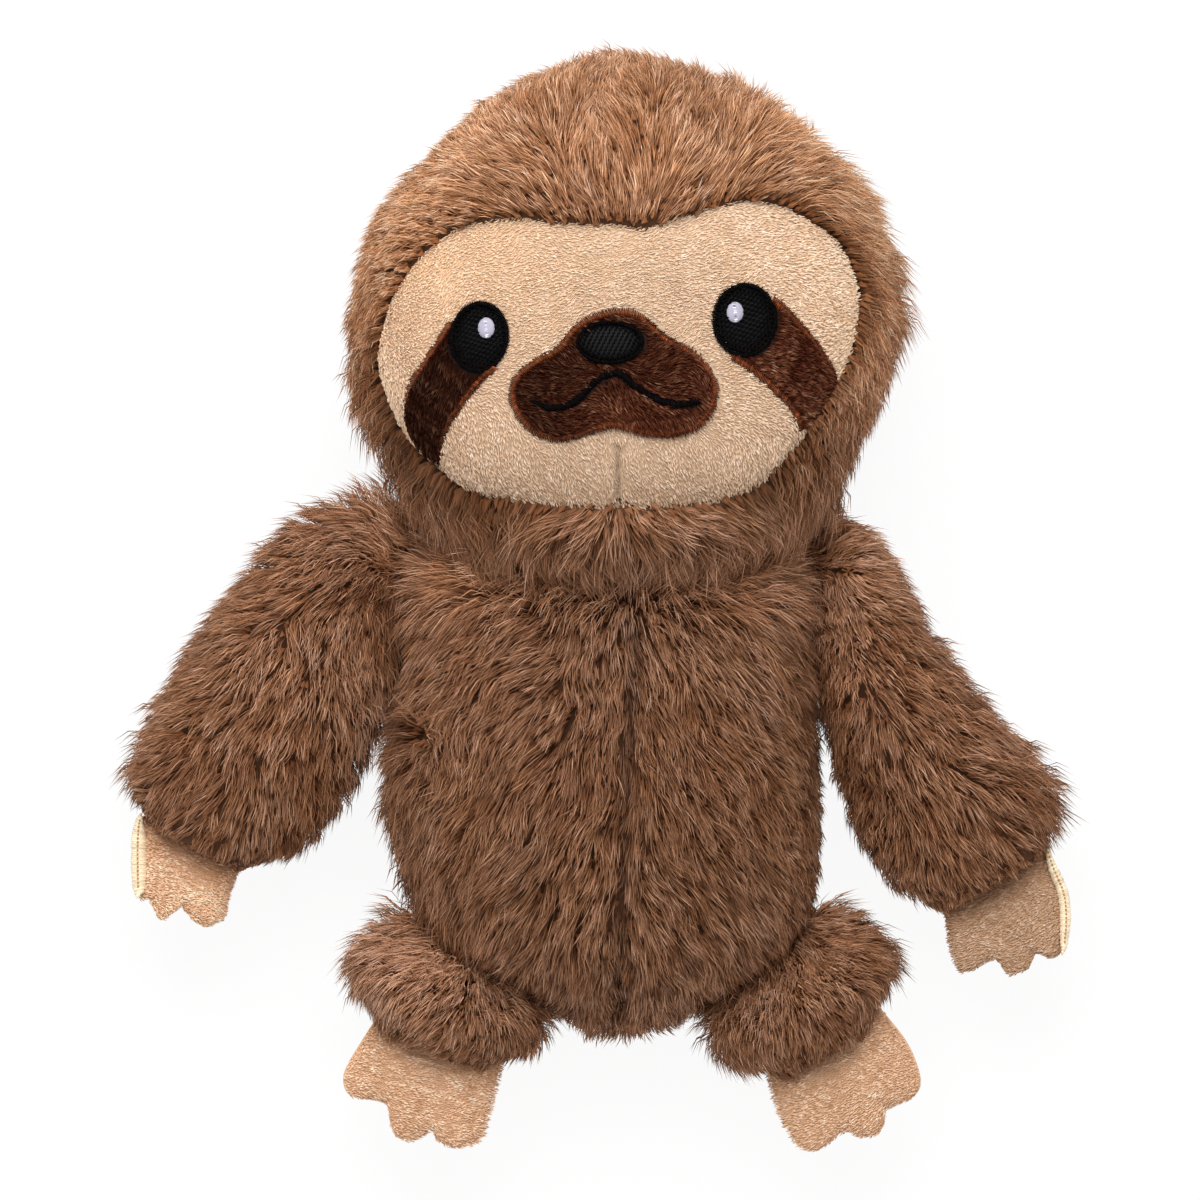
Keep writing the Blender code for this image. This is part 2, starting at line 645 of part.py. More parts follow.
def make_muzzle(layers):
    """The brown muzzle with its satin border, stitched nose and mouth line."""
    middle = at_shares([MUZZLE_PLACE_SHARE], FACE_MIDDLE, FACE_HALF_WIDTH, FACE_HALF_HEIGHT)[0]
    rim = at_shares(MUZZLE_OUTLINE_SHARES, middle, MUZZLE_HALF_WIDTH, MUZZLE_HALF_HEIGHT)
    inner_rim = moved_outline(rim, -SATIN_WIDTH)
    patch_rim = moved_outline(rim, -SATIN_WIDTH - SEAM_GAP)
    face_piece("muzzle_border", [rim, inner_rim], "rust", layers["patch_low"], layers["satin_top"])
    face_piece("muzzle_patch", [patch_rim], "brown", layers["patch_low"], layers["patch_top"])
    nose_middle = at_shares([NOSE_PLACE_SHARE], middle, MUZZLE_HALF_WIDTH, MUZZLE_HALF_HEIGHT)[0]
    nose = oval(nose_middle, NOSE_HALF_WIDTH, NOSE_HALF_HEIGHT)
    face_piece("nose", [nose], "black", layers["thread_low"], layers["thread_top"])
    mouth = at_shares(MOUTH_PATH_SHARES, middle, MUZZLE_HALF_WIDTH, MUZZLE_HALF_HEIGHT)
    face_piece("mouth_line", [ribbon(mouth, THREAD_WIDTH)], "black", layers["thread_low"],
               layers["thread_top"])


def make_eye(side, layers, inside):
    """One eye with its glint, on a brown patch between two satin borders."""
    middle = at_shares([EYE_PLACE_SHARES[side]], FACE_MIDDLE, FACE_HALF_WIDTH, FACE_HALF_HEIGHT)[0]
    eye = oval(middle, EYE_HALF_WIDTH, EYE_HALF_HEIGHT, EYE_LEAN[side])
    eye_limit = guide(f"{side}_eye_limit", moved_outline(eye, SEAM_GAP))
    face_piece(f"{side}_eye", [eye], "black", layers["patch_low"], layers["satin_top"])
    glint_middle = at_shares([GLINT_PLACE_SHARES[side]], middle, EYE_HALF_WIDTH, EYE_HALF_HEIGHT)[0]
    glint = oval(glint_middle, GLINT_HALF_WIDTH, GLINT_HALF_HEIGHT)
    face_piece(f"{side}_eye_glint", [glint], "white", layers["glint_low"], layers["glint_top"])
    paths = {}
    borders = []
    for edge, shares in (("upper", PATCH_UPPER_SHARES), ("lower", PATCH_LOWER_SHARES)):
        path = at_shares(shares[side], FACE_MIDDLE, FACE_HALF_WIDTH, FACE_HALF_HEIGHT)
        path[0] += (middle - path[0]).normalized() * (SATIN_WIDTH / 2)
        paths[edge] = path
        name = f"{side}_patch_border_{edge}"
        face_piece(name, [ribbon(path, SATIN_WIDTH, SATIN_WIDTH)], "rust", layers["patch_low"],
                   layers["satin_top"], keeps=(inside,), cuts=(eye_limit,))
        wide_band = ribbon(path, SATIN_WIDTH + SEAM_GAP * 2, SATIN_WIDTH * 2)
        borders.append(guide(f"{name}_limit", wide_band))
    field = paths["upper"] + paths["lower"][::-1]
    face_piece(f"{side}_eye_patch", [field], "brown", layers["patch_low"], layers["patch_top"],
               keeps=(inside,), cuts=(eye_limit, *borders))


def seat_on_torso(tree, middle, down, out, seam_half):
    """The hinge place and direction: the torso's chord along the seam, moved out past its bulge."""
    hits = []
    for step in range(SEAT_SAMPLES):
        place = middle + down * (seam_half * (2 * step / (SEAT_SAMPLES - 1) - 1))
        hits.append(tree.ray_cast(place + out * (OVERRUN / 2), -out)[0])
    chord = (hits[-1] - hits[0]).normalized()
    away = (out - chord * out.dot(chord)).normalized()
    middle = (hits[0] + hits[-1]) / 2
    bulge = max((hit - middle).dot(away) for hit in hits)
    return middle + away * (bulge + ROOT_HALF_THICKNESS), chord, away


def limb_rings(seat, chord, away, down, out, seam_half, length, thickness, shares):
    """Rings from the seam to the cuff; the seam's ring is a thin flange along the hinge."""
    root = seat - away * (ROOT_HALF_THICKNESS * ROOT_RING_SHARE)
    rings = [(root, chord * -seam_half, UP * ROOT_HALF_THICKNESS)]
    for outer_share, inner_share, thick_share in shares:
        outer = seat + out * (length * outer_share[0]) + down * (length * outer_share[1])
        inner = seat + out * (length * inner_share[0]) + down * (length * inner_share[1])
        rings.append(((outer + inner) / 2, (outer - inner) / 2, UP * (thickness / 2 * thick_share)))
    return rings


def core_form(name, rings, inset):
    """The hollow inside a limb: its middle rings drawn in, ending short of seam and cuff."""
    drawn = []
    for centre, across, up in rings[1:-1]:
        width, height = across.length, up.length
        drawn.append((centre, across * ((width - inset) / width), up * ((height - inset) / height)))
    start = rings[0][0].lerp(rings[1][0], CORE_START_SHARE)
    end = rings[-2][0].lerp(rings[-1][0], CORE_END_SHARE)
    spare = inset - FUR_THICKNESS
    start += (rings[1][0] - rings[0][0]).normalized() * spare
    end -= (rings[-1][0] - rings[-2][0]).normalized() * spare
    return form_mesh(name, drawn, start, end, LIMB_CORE_SIDES, LIMB_SQUARENESS)


def make_limb(name, side, tree, lean, root, seam_half, length, thickness, height, shares):
    """Front and back fur panels and stuffing of one limb; returns its hinge and its cuff."""
    down = Vector((math.sin(lean), -math.cos(lean), 0))
    out = Vector((down.y, -down.x, 0)) * SIDES[side]
    middle = Vector((TORSO_HALF_WIDTH * root[0], TORSO_START + TORSO_LENGTH * root[1], height))
    seat, chord, away = seat_on_torso(tree, middle, down, out, seam_half)
    rings = limb_rings(seat, chord, away, down, out, seam_half, length, thickness, shares)
    cuff, half_cuff = rings[-1][0], rings[-1][1]
    along = -half_cuff.normalized()
    onward = Vector((-along.y, along.x, 0))
    if onward.dot(cuff - rings[-2][0]) < 0:
        onward.negate()
    start = seat - away * ROOT_HALF_THICKNESS
    end = cuff + onward * CUFF_OVERRUN
    core = form_cutter(f"{name}_core", core_form(f"{name}_core", rings, FUR_THICKNESS))
    past_cuff = beyond(f"{name}_cuff", cuff, onward)
    seam = seat.z
    below = beyond(f"{name}_below", (0, 0, seam + SEAM_GAP / 2), -UP)
    above = beyond(f"{name}_above", (0, 0, seam - SEAM_GAP / 2), UP)
    for layer, other_half in (("front", below), ("back", above)):
        cage = form_mesh(f"{name}_{layer}", rings_to_cuff(rings, onward), start, end, LIMB_SIDES,
                         LIMB_SQUARENESS)
        rounded(finished(f"{name}_{layer}", cage, "fur", cuts=(other_half, past_cuff, core)))
    filling = core_form(f"{name}_fill", rings, FUR_THICKNESS + STUFFING_GAP)
    rounded(finished(f"{name}_fill", filling, "stuffing"))
    return {"hinge": seat, "axis": chord * -SIDES[side], "cuff": cuff, "along": along, "onward": onward}


def rings_to_cuff(rings, onward):
    """The rings with one more past the cuff, so that the cuff is cut through a full section."""
    centre, across, up = rings[-1]
    return [*rings, (centre + onward * (CUFF_OVERRUN / 2), across, up)]


def paw_curve(name, points):
    """A closed curve through the points, sharp at its root and notches, with a round edge."""
    curve = bpy.data.curves.new(name, "CURVE")
    curve.dimensions = "2D"
    curve.fill_mode = "BOTH"
    curve.resolution_u = CURVE_STEPS
    curve.extrude = PAW_HALF_THICKNESS - PAW_EDGE_ROUNDING
    curve.bevel_depth = PAW_EDGE_ROUNDING
    curve.bevel_resolution = 1
    curve.offset = -PAW_EDGE_ROUNDING
    spline = curve.splines.new("BEZIER")
    spline.bezier_points.add(len(points) - 1)
    for place, (point, sharp) in enumerate(points):
        knot = spline.bezier_points[place]
        knot.co = (point.x, point.y, 0)
        kind = "VECTOR" if sharp or place in (0, len(points) - 1) else "AUTO"
        knot.handle_left_type = kind
        knot.handle_right_type = kind
    spline.use_cyclic_u = True
    return curve


def make_paw(name, limb, half_width, length, reach, outline_shares):
    """Two short-pile layers sewn round a thin pad, hinged at the cuff; returns the hinge place."""
    root = limb["cuff"] + limb["onward"] * PAW_CLEARANCE
    along = limb["along"]
    points = []
    for across_share, reach_share, sharp in outline_shares:
        point = root + along * (half_width * across_share) + reach * (length * reach_share)
        points.append((point, sharp))
    height = limb["cuff"].z
    edge = curve_to_mesh(f"{name}_form", paw_curve(f"{name}_form", points), height)
    below = beyond(f"{name}_below", (0, 0, height + SEAM_GAP / 2), -UP)
    above = beyond(f"{name}_above", (0, 0, height - SEAM_GAP / 2), UP)
    pad_place = root + reach * (length * PAD_PLACE_SHARE)
    hollow_form = pad_form(f"{name}_hollow", pad_place, along, reach, half_width, length, 0)
    hollow = form_cutter(f"{name}_hollow", hollow_form)
    for layer, other_half in (("front", below), ("back", above)):
        finished(f"{name}_{layer}", edge.copy(), "paw", cuts=(other_half, hollow))
    padding = pad_form(f"{name}_pad", pad_place, along, reach, half_width, length, SEAM_GAP)
    rounded(finished(f"{name}_pad", padding, "stuffing"))
    return limb["cuff"] + limb["onward"] * (PAW_CLEARANCE + PAW_EDGE_ROUNDING)


def pad_form(name, place, along, reach, half_width, length, inset):
    """A flat oval cushion with its poles up and down."""
    wide = along * (half_width * PAD_HALF_SHARE[0] - inset)
    deep = reach * (length * PAD_HALF_SHARE[1] - inset)
    high = UP * (PAD_HALF_THICKNESS - inset)
    return form_mesh(name, [(place, wide, deep)], place + high, place - high, PAD_SIDES, LIMB_SQUARENESS)


def make_limbs():
    """Both arms with hands and both legs with feet; returns the joints in the toy's frame."""
    skin = rounded(as_cutter(bpy.data.objects.new("torso_skin", torso_form("torso_skin"))))
    surface = evaluated_mesh(skin)
    tree = BVHTree.FromPolygons([corner.co for corner in surface.vertices],
                                [face.vertices for face in surface.polygons])
    bpy.data.objects.remove(skin, do_unlink=True)
    joints = {}
    for side in SIDES:
        arm = make_limb(f"{side}_arm", side, tree, ARM_SEAM_LEAN[side], ARM_ROOT_SHARES[side], ARM_SEAM_HALF,
                        ARM_LENGTH, ARM_THICKNESS, SIDE_SEAM_HEIGHT, ARM_STATION_SHARES[side])
        wrist = make_paw(f"{side}_hand", arm, HAND_HALF_WIDTH, HAND_LENGTH, Vector((0, -1, 0)),
                         HAND_OUTLINE_SHARES[side])
        leg = make_limb(f"{side}_leg", side, tree, LEG_SEAM_LEAN[side], LEG_ROOT_SHARES[side], LEG_SEAM_HALF,
                        LEG_LENGTH, LEG_THICKNESS, LEG_SEAM_HEIGHT, LEG_STATION_SHARES[side])
        ankle = make_paw(f"{side}_foot", leg, FOOT_HALF_WIDTH, FOOT_LENGTH, leg["onward"],
                         FOOT_OUTLINE_SHARES[side])
        joints[f"{side}_shoulder"] = (arm["hinge"], arm["axis"], f"{side}_arm")
        joints[f"{side}_wrist"] = (wrist, arm["along"] * -SIDES[side], f"{side}_hand")
        joints[f"{side}_hip"] = (leg["hinge"], leg["axis"], f"{side}_leg")
        joints[f"{side}_ankle"] = (ankle, leg["along"] * -SIDES[side], f"{side}_foot")
    return joints


def hang_on_joints(joints):
    """Parent each moving piece to an empty on its joint, and each empty to the one before it."""
    parents = {"neck": None, "head": "neck", "right_arm": None, "left_arm": None, "right_leg": None,
               "left_leg": None, "right_hand": "right_arm", "left_hand": "left_arm",
               "right_foot": "right_leg", "left_foot": "left_leg"}
    pivots = {}
    for place, axis, body in joints.values():
        pivot = bpy.data.objects.new(f"{body}_pivot", None)
        parts.objects.link(pivot)
        pivot.location = place
        pivots[body] = pivot
    bpy.context.view_layer.update()
    for body, pivot in pivots.items():
        above = pivots.get(parents[body])
        if above is not None:
            pivot.parent = above
            pivot.matrix_parent_inverse = above.matrix_world.inverted()
    for piece in parts.objects:
        body = body_of(piece.name)
        if piece.type == "MESH" and body in pivots:
            piece.parent = pivots[body]
            piece.matrix_parent_inverse = pivots[body].matrix_world.inverted()


def body_of(name):
    """The moving body that a piece belongs to, from its name."""
    for limb in ("arm", "hand", "leg", "foot"):
        for side in SIDES:
            if name.startswith(f"{side}_{limb}_"):
                return f"{side}_{limb}"
    if name.startswith("torso"):
        return "torso"
    return "neck" if name.startswith("neck") else "head"


make_torso()
make_neck()
make_head()
JOINTS = {
    "head_turn": (Vector((0, NECK_FACE, (NECK_LOW + NECK_HIGH) / 2)), Vector((0, 1, 0)), "neck"),
    "head_nod": (Vector((0, HEAD_FACE, NECK_HIGH + NOD_ABOVE_NECK)), Vector((1, 0, 0)), "head"),
    **make_limbs(),
}
hang_on_joints(JOINTS)
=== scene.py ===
"""Looks of a plush sloth: clumped long-pile fur, short-pile face and paws, satin stitching.

Lengths are metres in the frame's axes: +Z is the way the face looks, +Y runs to the crown and -X is
the toy's own right side. Every strand and thread is a closed mesh worked out with numpy.
"""

import json
import math

import bpy
import numpy as np
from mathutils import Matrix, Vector


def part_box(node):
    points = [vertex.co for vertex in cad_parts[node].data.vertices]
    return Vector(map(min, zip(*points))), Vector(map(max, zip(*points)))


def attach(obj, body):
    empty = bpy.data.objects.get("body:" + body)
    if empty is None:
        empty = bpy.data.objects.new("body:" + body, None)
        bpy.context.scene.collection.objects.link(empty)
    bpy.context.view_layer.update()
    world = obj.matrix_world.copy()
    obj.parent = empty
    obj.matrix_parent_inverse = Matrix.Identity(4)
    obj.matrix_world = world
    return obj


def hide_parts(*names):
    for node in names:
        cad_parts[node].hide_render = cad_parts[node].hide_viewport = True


bl_info = {
    "name": "Plush Sloth Looks",
    "version": (1, 0, 0),
    "blender": (4, 5, 0),
    "location": "View3D > Sidebar > Plush",
    "description": "Dresses a plush sloth in long fur, short pile and satin stitching",
    "category": "Add Mesh",
}

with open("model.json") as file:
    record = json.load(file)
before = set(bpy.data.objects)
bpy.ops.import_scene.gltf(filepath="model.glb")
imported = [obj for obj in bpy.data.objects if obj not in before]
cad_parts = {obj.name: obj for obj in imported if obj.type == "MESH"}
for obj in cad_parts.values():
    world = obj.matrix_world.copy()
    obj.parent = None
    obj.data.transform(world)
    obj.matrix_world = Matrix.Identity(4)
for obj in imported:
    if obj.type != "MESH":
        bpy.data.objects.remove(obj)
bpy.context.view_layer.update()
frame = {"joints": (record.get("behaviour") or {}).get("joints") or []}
JOINTS = {joint["name"]: joint for joint in frame["joints"]}
UP = np.array((0.0, 0.0, 1.0))
SIDES = {"right": -1, "left": 1}
MATERIALS = {}

# Forms, as the toy was cut. Each row: place along the length, half width, low and high side, drift
FLOOR_CUT = 0.0005
REST_HEIGHT = 0.0002
BODY_SQUARENESS = 2.5
LIMB_SQUARENESS = 2.2
TORSO_DEPTH = 0.0825
TORSO_NECK_SHARE = 0.916
TORSO_POLE_SHARES = (0.42, 0.40)
COLLAR_OVERLAPS = (0.010, 0.014)
TORSO_STATION_SHARES = (
    (0.033, 0.27, 0.22, 0.62, 0.09),
    (0.087, 0.47, 0.10, 0.77, 0.09),
    (0.142, 0.68, 0.04, 0.88, 0.09),
    (0.205, 0.88, 0.00, 0.93, 0.07),
    (0.313, 0.97, 0.00, 0.98, 0.03),
    (0.458, 1.00, 0.00, 1.00, 0.00),
    (0.602, 0.96, 0.00, 0.98, 0.00),
    (0.765, 0.88, 0.00, 0.93, 0.00),
    (0.855, 0.79, 0.04, 0.81, 0.00),
    (0.928, 0.57, 0.10, 0.69, 0.00),
)
HEAD_DEPTH = 0.1145
CHIN_HEIGHT = 0.072
CHIN_DROP = 0.013
HEAD_POLE_SHARES = (0.66, 0.51)
HEAD_STATION_SHARES = (
    (0.029, 0.41, 0.44, 0.88, 0.00),
    (0.106, 0.71, 0.05, 0.93, 0.00),
    (0.222, 0.87, 0.00, 0.98, 0.00),
    (0.358, 0.975, 0.00, 1.00, 0.00),
    (0.513, 1.00, 0.00, 1.00, 0.00),
    (0.667, 0.91, 0.00, 0.98, 0.00),
    (0.803, 0.70, 0.05, 0.93, 0.00),
    (0.909, 0.49, 0.16, 0.84, 0.00),
    (0.977, 0.20, 0.33, 0.68, 0.00),
)
# Limbs: outer and inner edge as shares of the length, outwards and down from the seam, and thickness
ROOT_HALF_THICKNESS = 0.0022
ARM_LENGTH = 0.110
ARM_THICKNESS = 0.042
ARM_SEAM_HALF = 0.0185
ARM_LEAN = {"right": math.radians(-17.8), "left": math.radians(10.0)}
ARM_STATION_SHARES = {
    "right": (
        ((0.16, -0.22), (0.03, 0.19), 0.42),
        ((0.35, -0.10), (0.02, 0.28), 0.80),
        ((0.47, 0.15), (0.02, 0.41), 1.00),
        ((0.55, 0.43), (0.04, 0.56), 1.00),
        ((0.58, 0.67), (0.10, 0.73), 0.92),
        ((0.55, 0.78), (0.20, 0.84), 0.75),
    ),
    "left": (
        ((0.13, -0.21), (0.03, 0.19), 0.42),
        ((0.25, -0.06), (0.04, 0.31), 0.78),
        ((0.34, 0.20), (0.05, 0.47), 1.00),
        ((0.47, 0.44), (0.07, 0.65), 1.00),
        ((0.57, 0.63), (0.13, 0.80), 0.92),
        ((0.58, 0.79), (0.23, 0.92), 0.75),
    ),
}
# Which way the hood's fur lies, at turns round the middle of the face, both in degrees
HOOD_WAYS = (
    (0, -12), (30, 12), (55, 38), (75, 72), (88, 92), (105, 118), (125, 155), (150, 190),
    (180, 222), (205, 258), (228, 298), (250, 292), (268, 268), (285, 262), (305, 236), (330, 238),
    (348, 300), (360, 348),
)
# The same close to the face, where the pile lies along the face's edge and over it
EDGE_WAYS = (
    (0, 280), (30, 345), (55, 38), (88, 92), (125, 158), (150, 208), (165, 245), (180, 275),
    (200, 325), (225, 340), (238, 262), (256, 215), (264, 210), (277, 330), (285, 340), (305, 325),
    (325, 262), (345, 270), (360, 280),
)
# Folds where the fur is in shade, and where it catches the light: x, y, half width and share of its colour
FOLD_SHADES = (
    (-0.068, 0.050, 0.0085, 0.45), (-0.062, 0.036, 0.0060, 0.60), (0.061, 0.060, 0.0070, 0.55),
    (0.063, 0.030, 0.0060, 0.60), (0.078, -0.002, 0.0100, 0.80), (0.088, -0.018, 0.0100, 0.78),
    (0.008, 0.054, 0.0260, 1.25), (0.045, 0.043, 0.0110, 1.20), (0.075, 0.062, 0.0130, 1.35),
    (-0.052, -0.066, 0.0230, 1.50), (-0.100, 0.038, 0.0330, 1.32), (0.008, 0.066, 0.0300, 1.10),
    (0.105, 0.038, 0.0320, 1.22),
)
# Swirls, where the fur leans away from a spot: x, y, half width and strength
SWIRLS = (
    (-0.0525, 0.0060, 0.016, 1.2), (-0.0120, 0.0260, 0.015, 0.6), (0.0100, -0.0380, 0.012, 0.6),
    (0.0120, 0.1950, 0.016, 0.6), (-0.0150, 0.1830, 0.012, 0.6), (0.0400, 0.1840, 0.012, 0.6),
    (-0.1000, 0.0400, 0.012, 0.8), (0.1060, 0.0420, 0.012, 0.8), (-0.0250, 0.0640, 0.010, 0.9),
)
# Which way the arm's fur lies along its inner edge, its middle and its outer edge
ARM_WAYS = {
    "right": ((-0.05, -1.0), (-0.50, -0.87), (-0.88, -0.48)),
    "left": ((0.05, -1.0), (0.48, -0.88), (0.78, -0.62)),
}
LEG_LENGTH = 0.057
LEG_THICKNESS = 0.040
LEG_SEAM_HALF = 0.020
LEG_LEAN = {"right": math.radians(58.4), "left": math.radians(-51.4)}
LEG_STATION_SHARES = {
    "right": (
        ((0.15, -0.48), (0.10, 0.51), 0.50),
        ((0.35, -0.48), (0.23, 0.53), 0.95),
        ((0.52, -0.31), (0.36, 0.46), 0.85),
    ),
    "left": (
        ((0.17, -0.41), (0.09, 0.52), 0.50),
        ((0.39, -0.39), (0.24, 0.54), 0.95),
        ((0.53, -0.24), (0.44, 0.46), 0.85),
    ),
}
# Paws: outline along the cuff and towards the claws, as shares of half width and length
PAW_CLEARANCE = 0.0008
PAW_HALF_THICKNESS = 0.0028
HAND_HALF_WIDTH = 0.021
HAND_LENGTH = 0.030
FOOT_HALF_WIDTH = 0.024
FOOT_LENGTH = 0.034
HAND_OUTLINE_SHARES = {
    "right": (
        (-0.88, -0.02), (-0.97, 0.09), (-1.02, 0.25), (-1.03, 0.46), (-1.02, 0.67), (-0.99, 0.78),
        (-0.93, 0.84), (-0.86, 0.80), (-0.82, 0.75), (-0.77, 0.80), (-0.69, 0.89), (-0.58, 0.94),
        (-0.46, 0.86), (-0.35, 0.78), (-0.26, 0.71), (-0.14, 0.74), (-0.01, 0.78), (0.17, 0.78),
        (0.31, 0.71), (0.47, 0.60), (0.52, 0.48), (0.57, 0.31), (0.67, 0.10), (0.72, 0.00),
    ),
    "left": (
        (-0.93, 0.00), (-1.06, 0.22), (-1.16, 0.38), (-1.24, 0.52), (-1.29, 0.68), (-1.30, 0.88),
        (-1.27, 1.02), (-1.22, 1.13), (-1.08, 1.16), (-0.89, 1.07), (-0.77, 1.02), (-0.70, 1.07),
        (-0.63, 1.12), (-0.47, 1.11), (-0.32, 1.08), (-0.21, 0.96), (-0.11, 0.86), (-0.02, 0.82),
        (0.14, 0.80), (0.29, 0.80), (0.44, 0.77), (0.54, 0.74), (0.65, 0.57), (0.74, 0.34),
        (0.80, 0.00),
    ),
}
FOOT_OUTLINE_SHARES = {
    "right": (
        (-0.83, 0.00), (-0.92, 0.28), (-0.98, 0.51), (-0.96, 0.65), (-0.83, 0.75), (-0.59, 0.73),
        (-0.39, 0.71), (-0.30, 0.76), (-0.19, 0.89), (-0.07, 0.97), (0.10, 0.97), (0.23, 0.90),
        (0.33, 0.81), (0.48, 0.87), (0.68, 0.88), (0.85, 0.81), (0.96, 0.71), (0.96, 0.56),
        (0.93, 0.33), (0.88, 0.00),
    ),
    "left": (
        (-0.85, 0.00), (-0.92, 0.37), (-0.88, 0.63), (-0.78, 0.80), (-0.61, 0.86), (-0.41, 0.84),
        (-0.25, 0.83), (-0.13, 0.92), (0.01, 0.98), (0.19, 0.94), (0.32, 0.83), (0.44, 0.80),
        (0.64, 0.82), (0.81, 0.81), (0.93, 0.74), (0.98, 0.61), (0.96, 0.36), (0.83, 0.00),
    ),
}
# Brightness of each paw, and the width and the last outline place of each hand's overlocked ridge
PAW_TONES = {"right_hand": 1.06, "left_hand": 0.66, "right_foot": 1.0, "left_foot": 0.92}
SEAM_WIDTHS = {"right_hand": 0.0050, "left_hand": 0.0036}
SEAM_ENDS = {"right_hand": 36, "left_hand": 38}
# Face, as shares of its half width and half height about its middle
FACE_HALF_WIDTH = 0.0714
FACE_HALF_HEIGHT = 0.0465
FACE_FROM_NECK = 0.0455
FACE_OFFSET = 0.0036
FACE_OUTLINE_SHARES = (
    (0.096, 0.775), (0.002, 0.794), (-0.176, 0.813), (-0.385, 0.836), (-0.521, 0.829), (-0.636, 0.794),
    (-0.719, 0.726), (-0.813, 0.608), (-0.887, 0.470), (-0.945, 0.312), (-0.987, 0.094), (-0.997, -0.082),
    (-0.970, -0.243), (-0.933, -0.387), (-0.882, -0.532), (-0.813, -0.654), (-0.745, -0.740),
    (-0.667, -0.846), (-0.573, -0.911), (-0.427, -0.959), (-0.239, -1.000), (0.012, -1.016),
    (0.305, -0.997), (0.451, -0.955), (0.577, -0.869), (0.671, -0.747), (0.750, -0.606), (0.827, -0.426),
    (0.894, -0.275), (0.942, -0.137), (0.982, 0.023), (1.001, 0.222), (0.999, 0.383), (0.963, 0.560),
    (0.894, 0.720), (0.796, 0.826), (0.681, 0.913), (0.545, 0.951), (0.430, 0.925), (0.326, 0.880),
    (0.221, 0.832), (0.148, 0.787),
)
MUZZLE_HALF_WIDTH = 0.0315
MUZZLE_HALF_HEIGHT = 0.0200
MUZZLE_PLACE_SHARE = (-0.022, -0.165)
MUZZLE_OUTLINE_SHARES = (
    (0.05, 1.00), (-0.19, 0.91), (-0.38, 0.73), (-0.53, 0.42), (-0.76, 0.20), (-0.94, -0.05),
    (-0.98, -0.38), (-0.85, -0.76), (-0.67, -0.95), (-0.48, -1.00), (-0.25, -0.91), (-0.04, -0.81),
    (0.14, -0.83), (0.35, -0.92), (0.57, -0.92), (0.82, -0.80), (0.98, -0.50), (1.02, -0.20),
    (0.96, 0.05), (0.79, 0.35), (0.57, 0.55), (0.41, 0.76), (0.26, 0.95),
)
MOUTH_PATH_SHARES = (
    (-0.77, -0.38), (-0.62, -0.47), (-0.48, -0.47), (-0.34, -0.38), (-0.22, -0.18), (-0.09, -0.02),
    (0.05, 0.04), (0.19, -0.11), (0.35, -0.30), (0.54, -0.42), (0.70, -0.42), (0.82, -0.37),
)
NOSE_HALF_WIDTH = 0.0096
NOSE_HALF_HEIGHT = 0.0059
NOSE_PLACE_SHARE = (-0.02, 0.49)
EYE_HALF_SIZES = {"right": (0.0088, 0.0107), "left": (0.0096, 0.0111)}
EYE_PLACE_SHARES = {"right": (-0.577, 0.078), "left": (0.533, 0.188)}
EYE_LEAN = {"right": math.radians(-8), "left": math.radians(-3)}
GLINT_HALF_WIDTH = 0.0025
GLINT_HALF_HEIGHT = 0.0031
GLINT_PLACE_SHARES = {"right": (0.248, 0.257), "left": (-0.30, 0.207)}
PATCH_UPPER_SHARES = {
    "right": ((-0.694, 0.172), (-0.758, 0.015), (-0.809, -0.103), (-0.851, -0.202), (-0.874, -0.300),
              (-0.884, -0.388), (-0.877, -0.477), (-0.851, -0.556), (-0.812, -0.644)),
    "left": ((0.651, 0.319), (0.710, 0.242), (0.762, 0.152), (0.815, 0.062), (0.862, -0.046),
             (0.892, -0.127), (0.909, -0.204)),
}
PATCH_LOWER_SHARES = {
    "right": ((-0.518, -0.113), (-0.572, -0.192), (-0.617, -0.270), (-0.655, -0.349), (-0.700, -0.447),
              (-0.727, -0.536), (-0.744, -0.624), (-0.748, -0.713)),
    "left": ((0.481, -0.046), (0.540, -0.100), (0.598, -0.163), (0.657, -0.244), (0.710, -0.325),
             (0.745, -0.397), (0.765, -0.460), (0.771, -0.514)),
}

# Strands in each kind of pile, and steps along and corners round each form of cloth
FUR_STRANDS = {"torso": 62000, "neck": 3000, "head": 68000, "arm": 25000, "leg": 14000}
NAP_STRANDS = {"face": 28000, "muzzle": 8000, "eye_patch": 2800, "front": 5400, "back": 1500}
LOFT_STEPS = {"torso": (7, 120), "neck": (6, 72), "head": (8, 140), "limb": (8, 72)}
DISC_RINGS = {"face": 44, "muzzle": 18, "ground": 12, "paw": 14}
PATCH_GRID = (16, 40)
# Seeds of the random draws, and of the drift of the fur
SEEDS = {
    "torso": 11, "head": 12, "neck": 13, "right_arm": 41, "left_arm": 42, "right_leg": 51, "left_leg": 52,
    "face": 61, "muzzle": 62, "eyes": 63, "paws": 71,
}
DRIFT_SEEDS = {
    "torso": 21, "head": 31, "neck": 37, "right_arm": 123, "left_arm": 126, "right_leg": 153,
    "left_leg": 156,
}
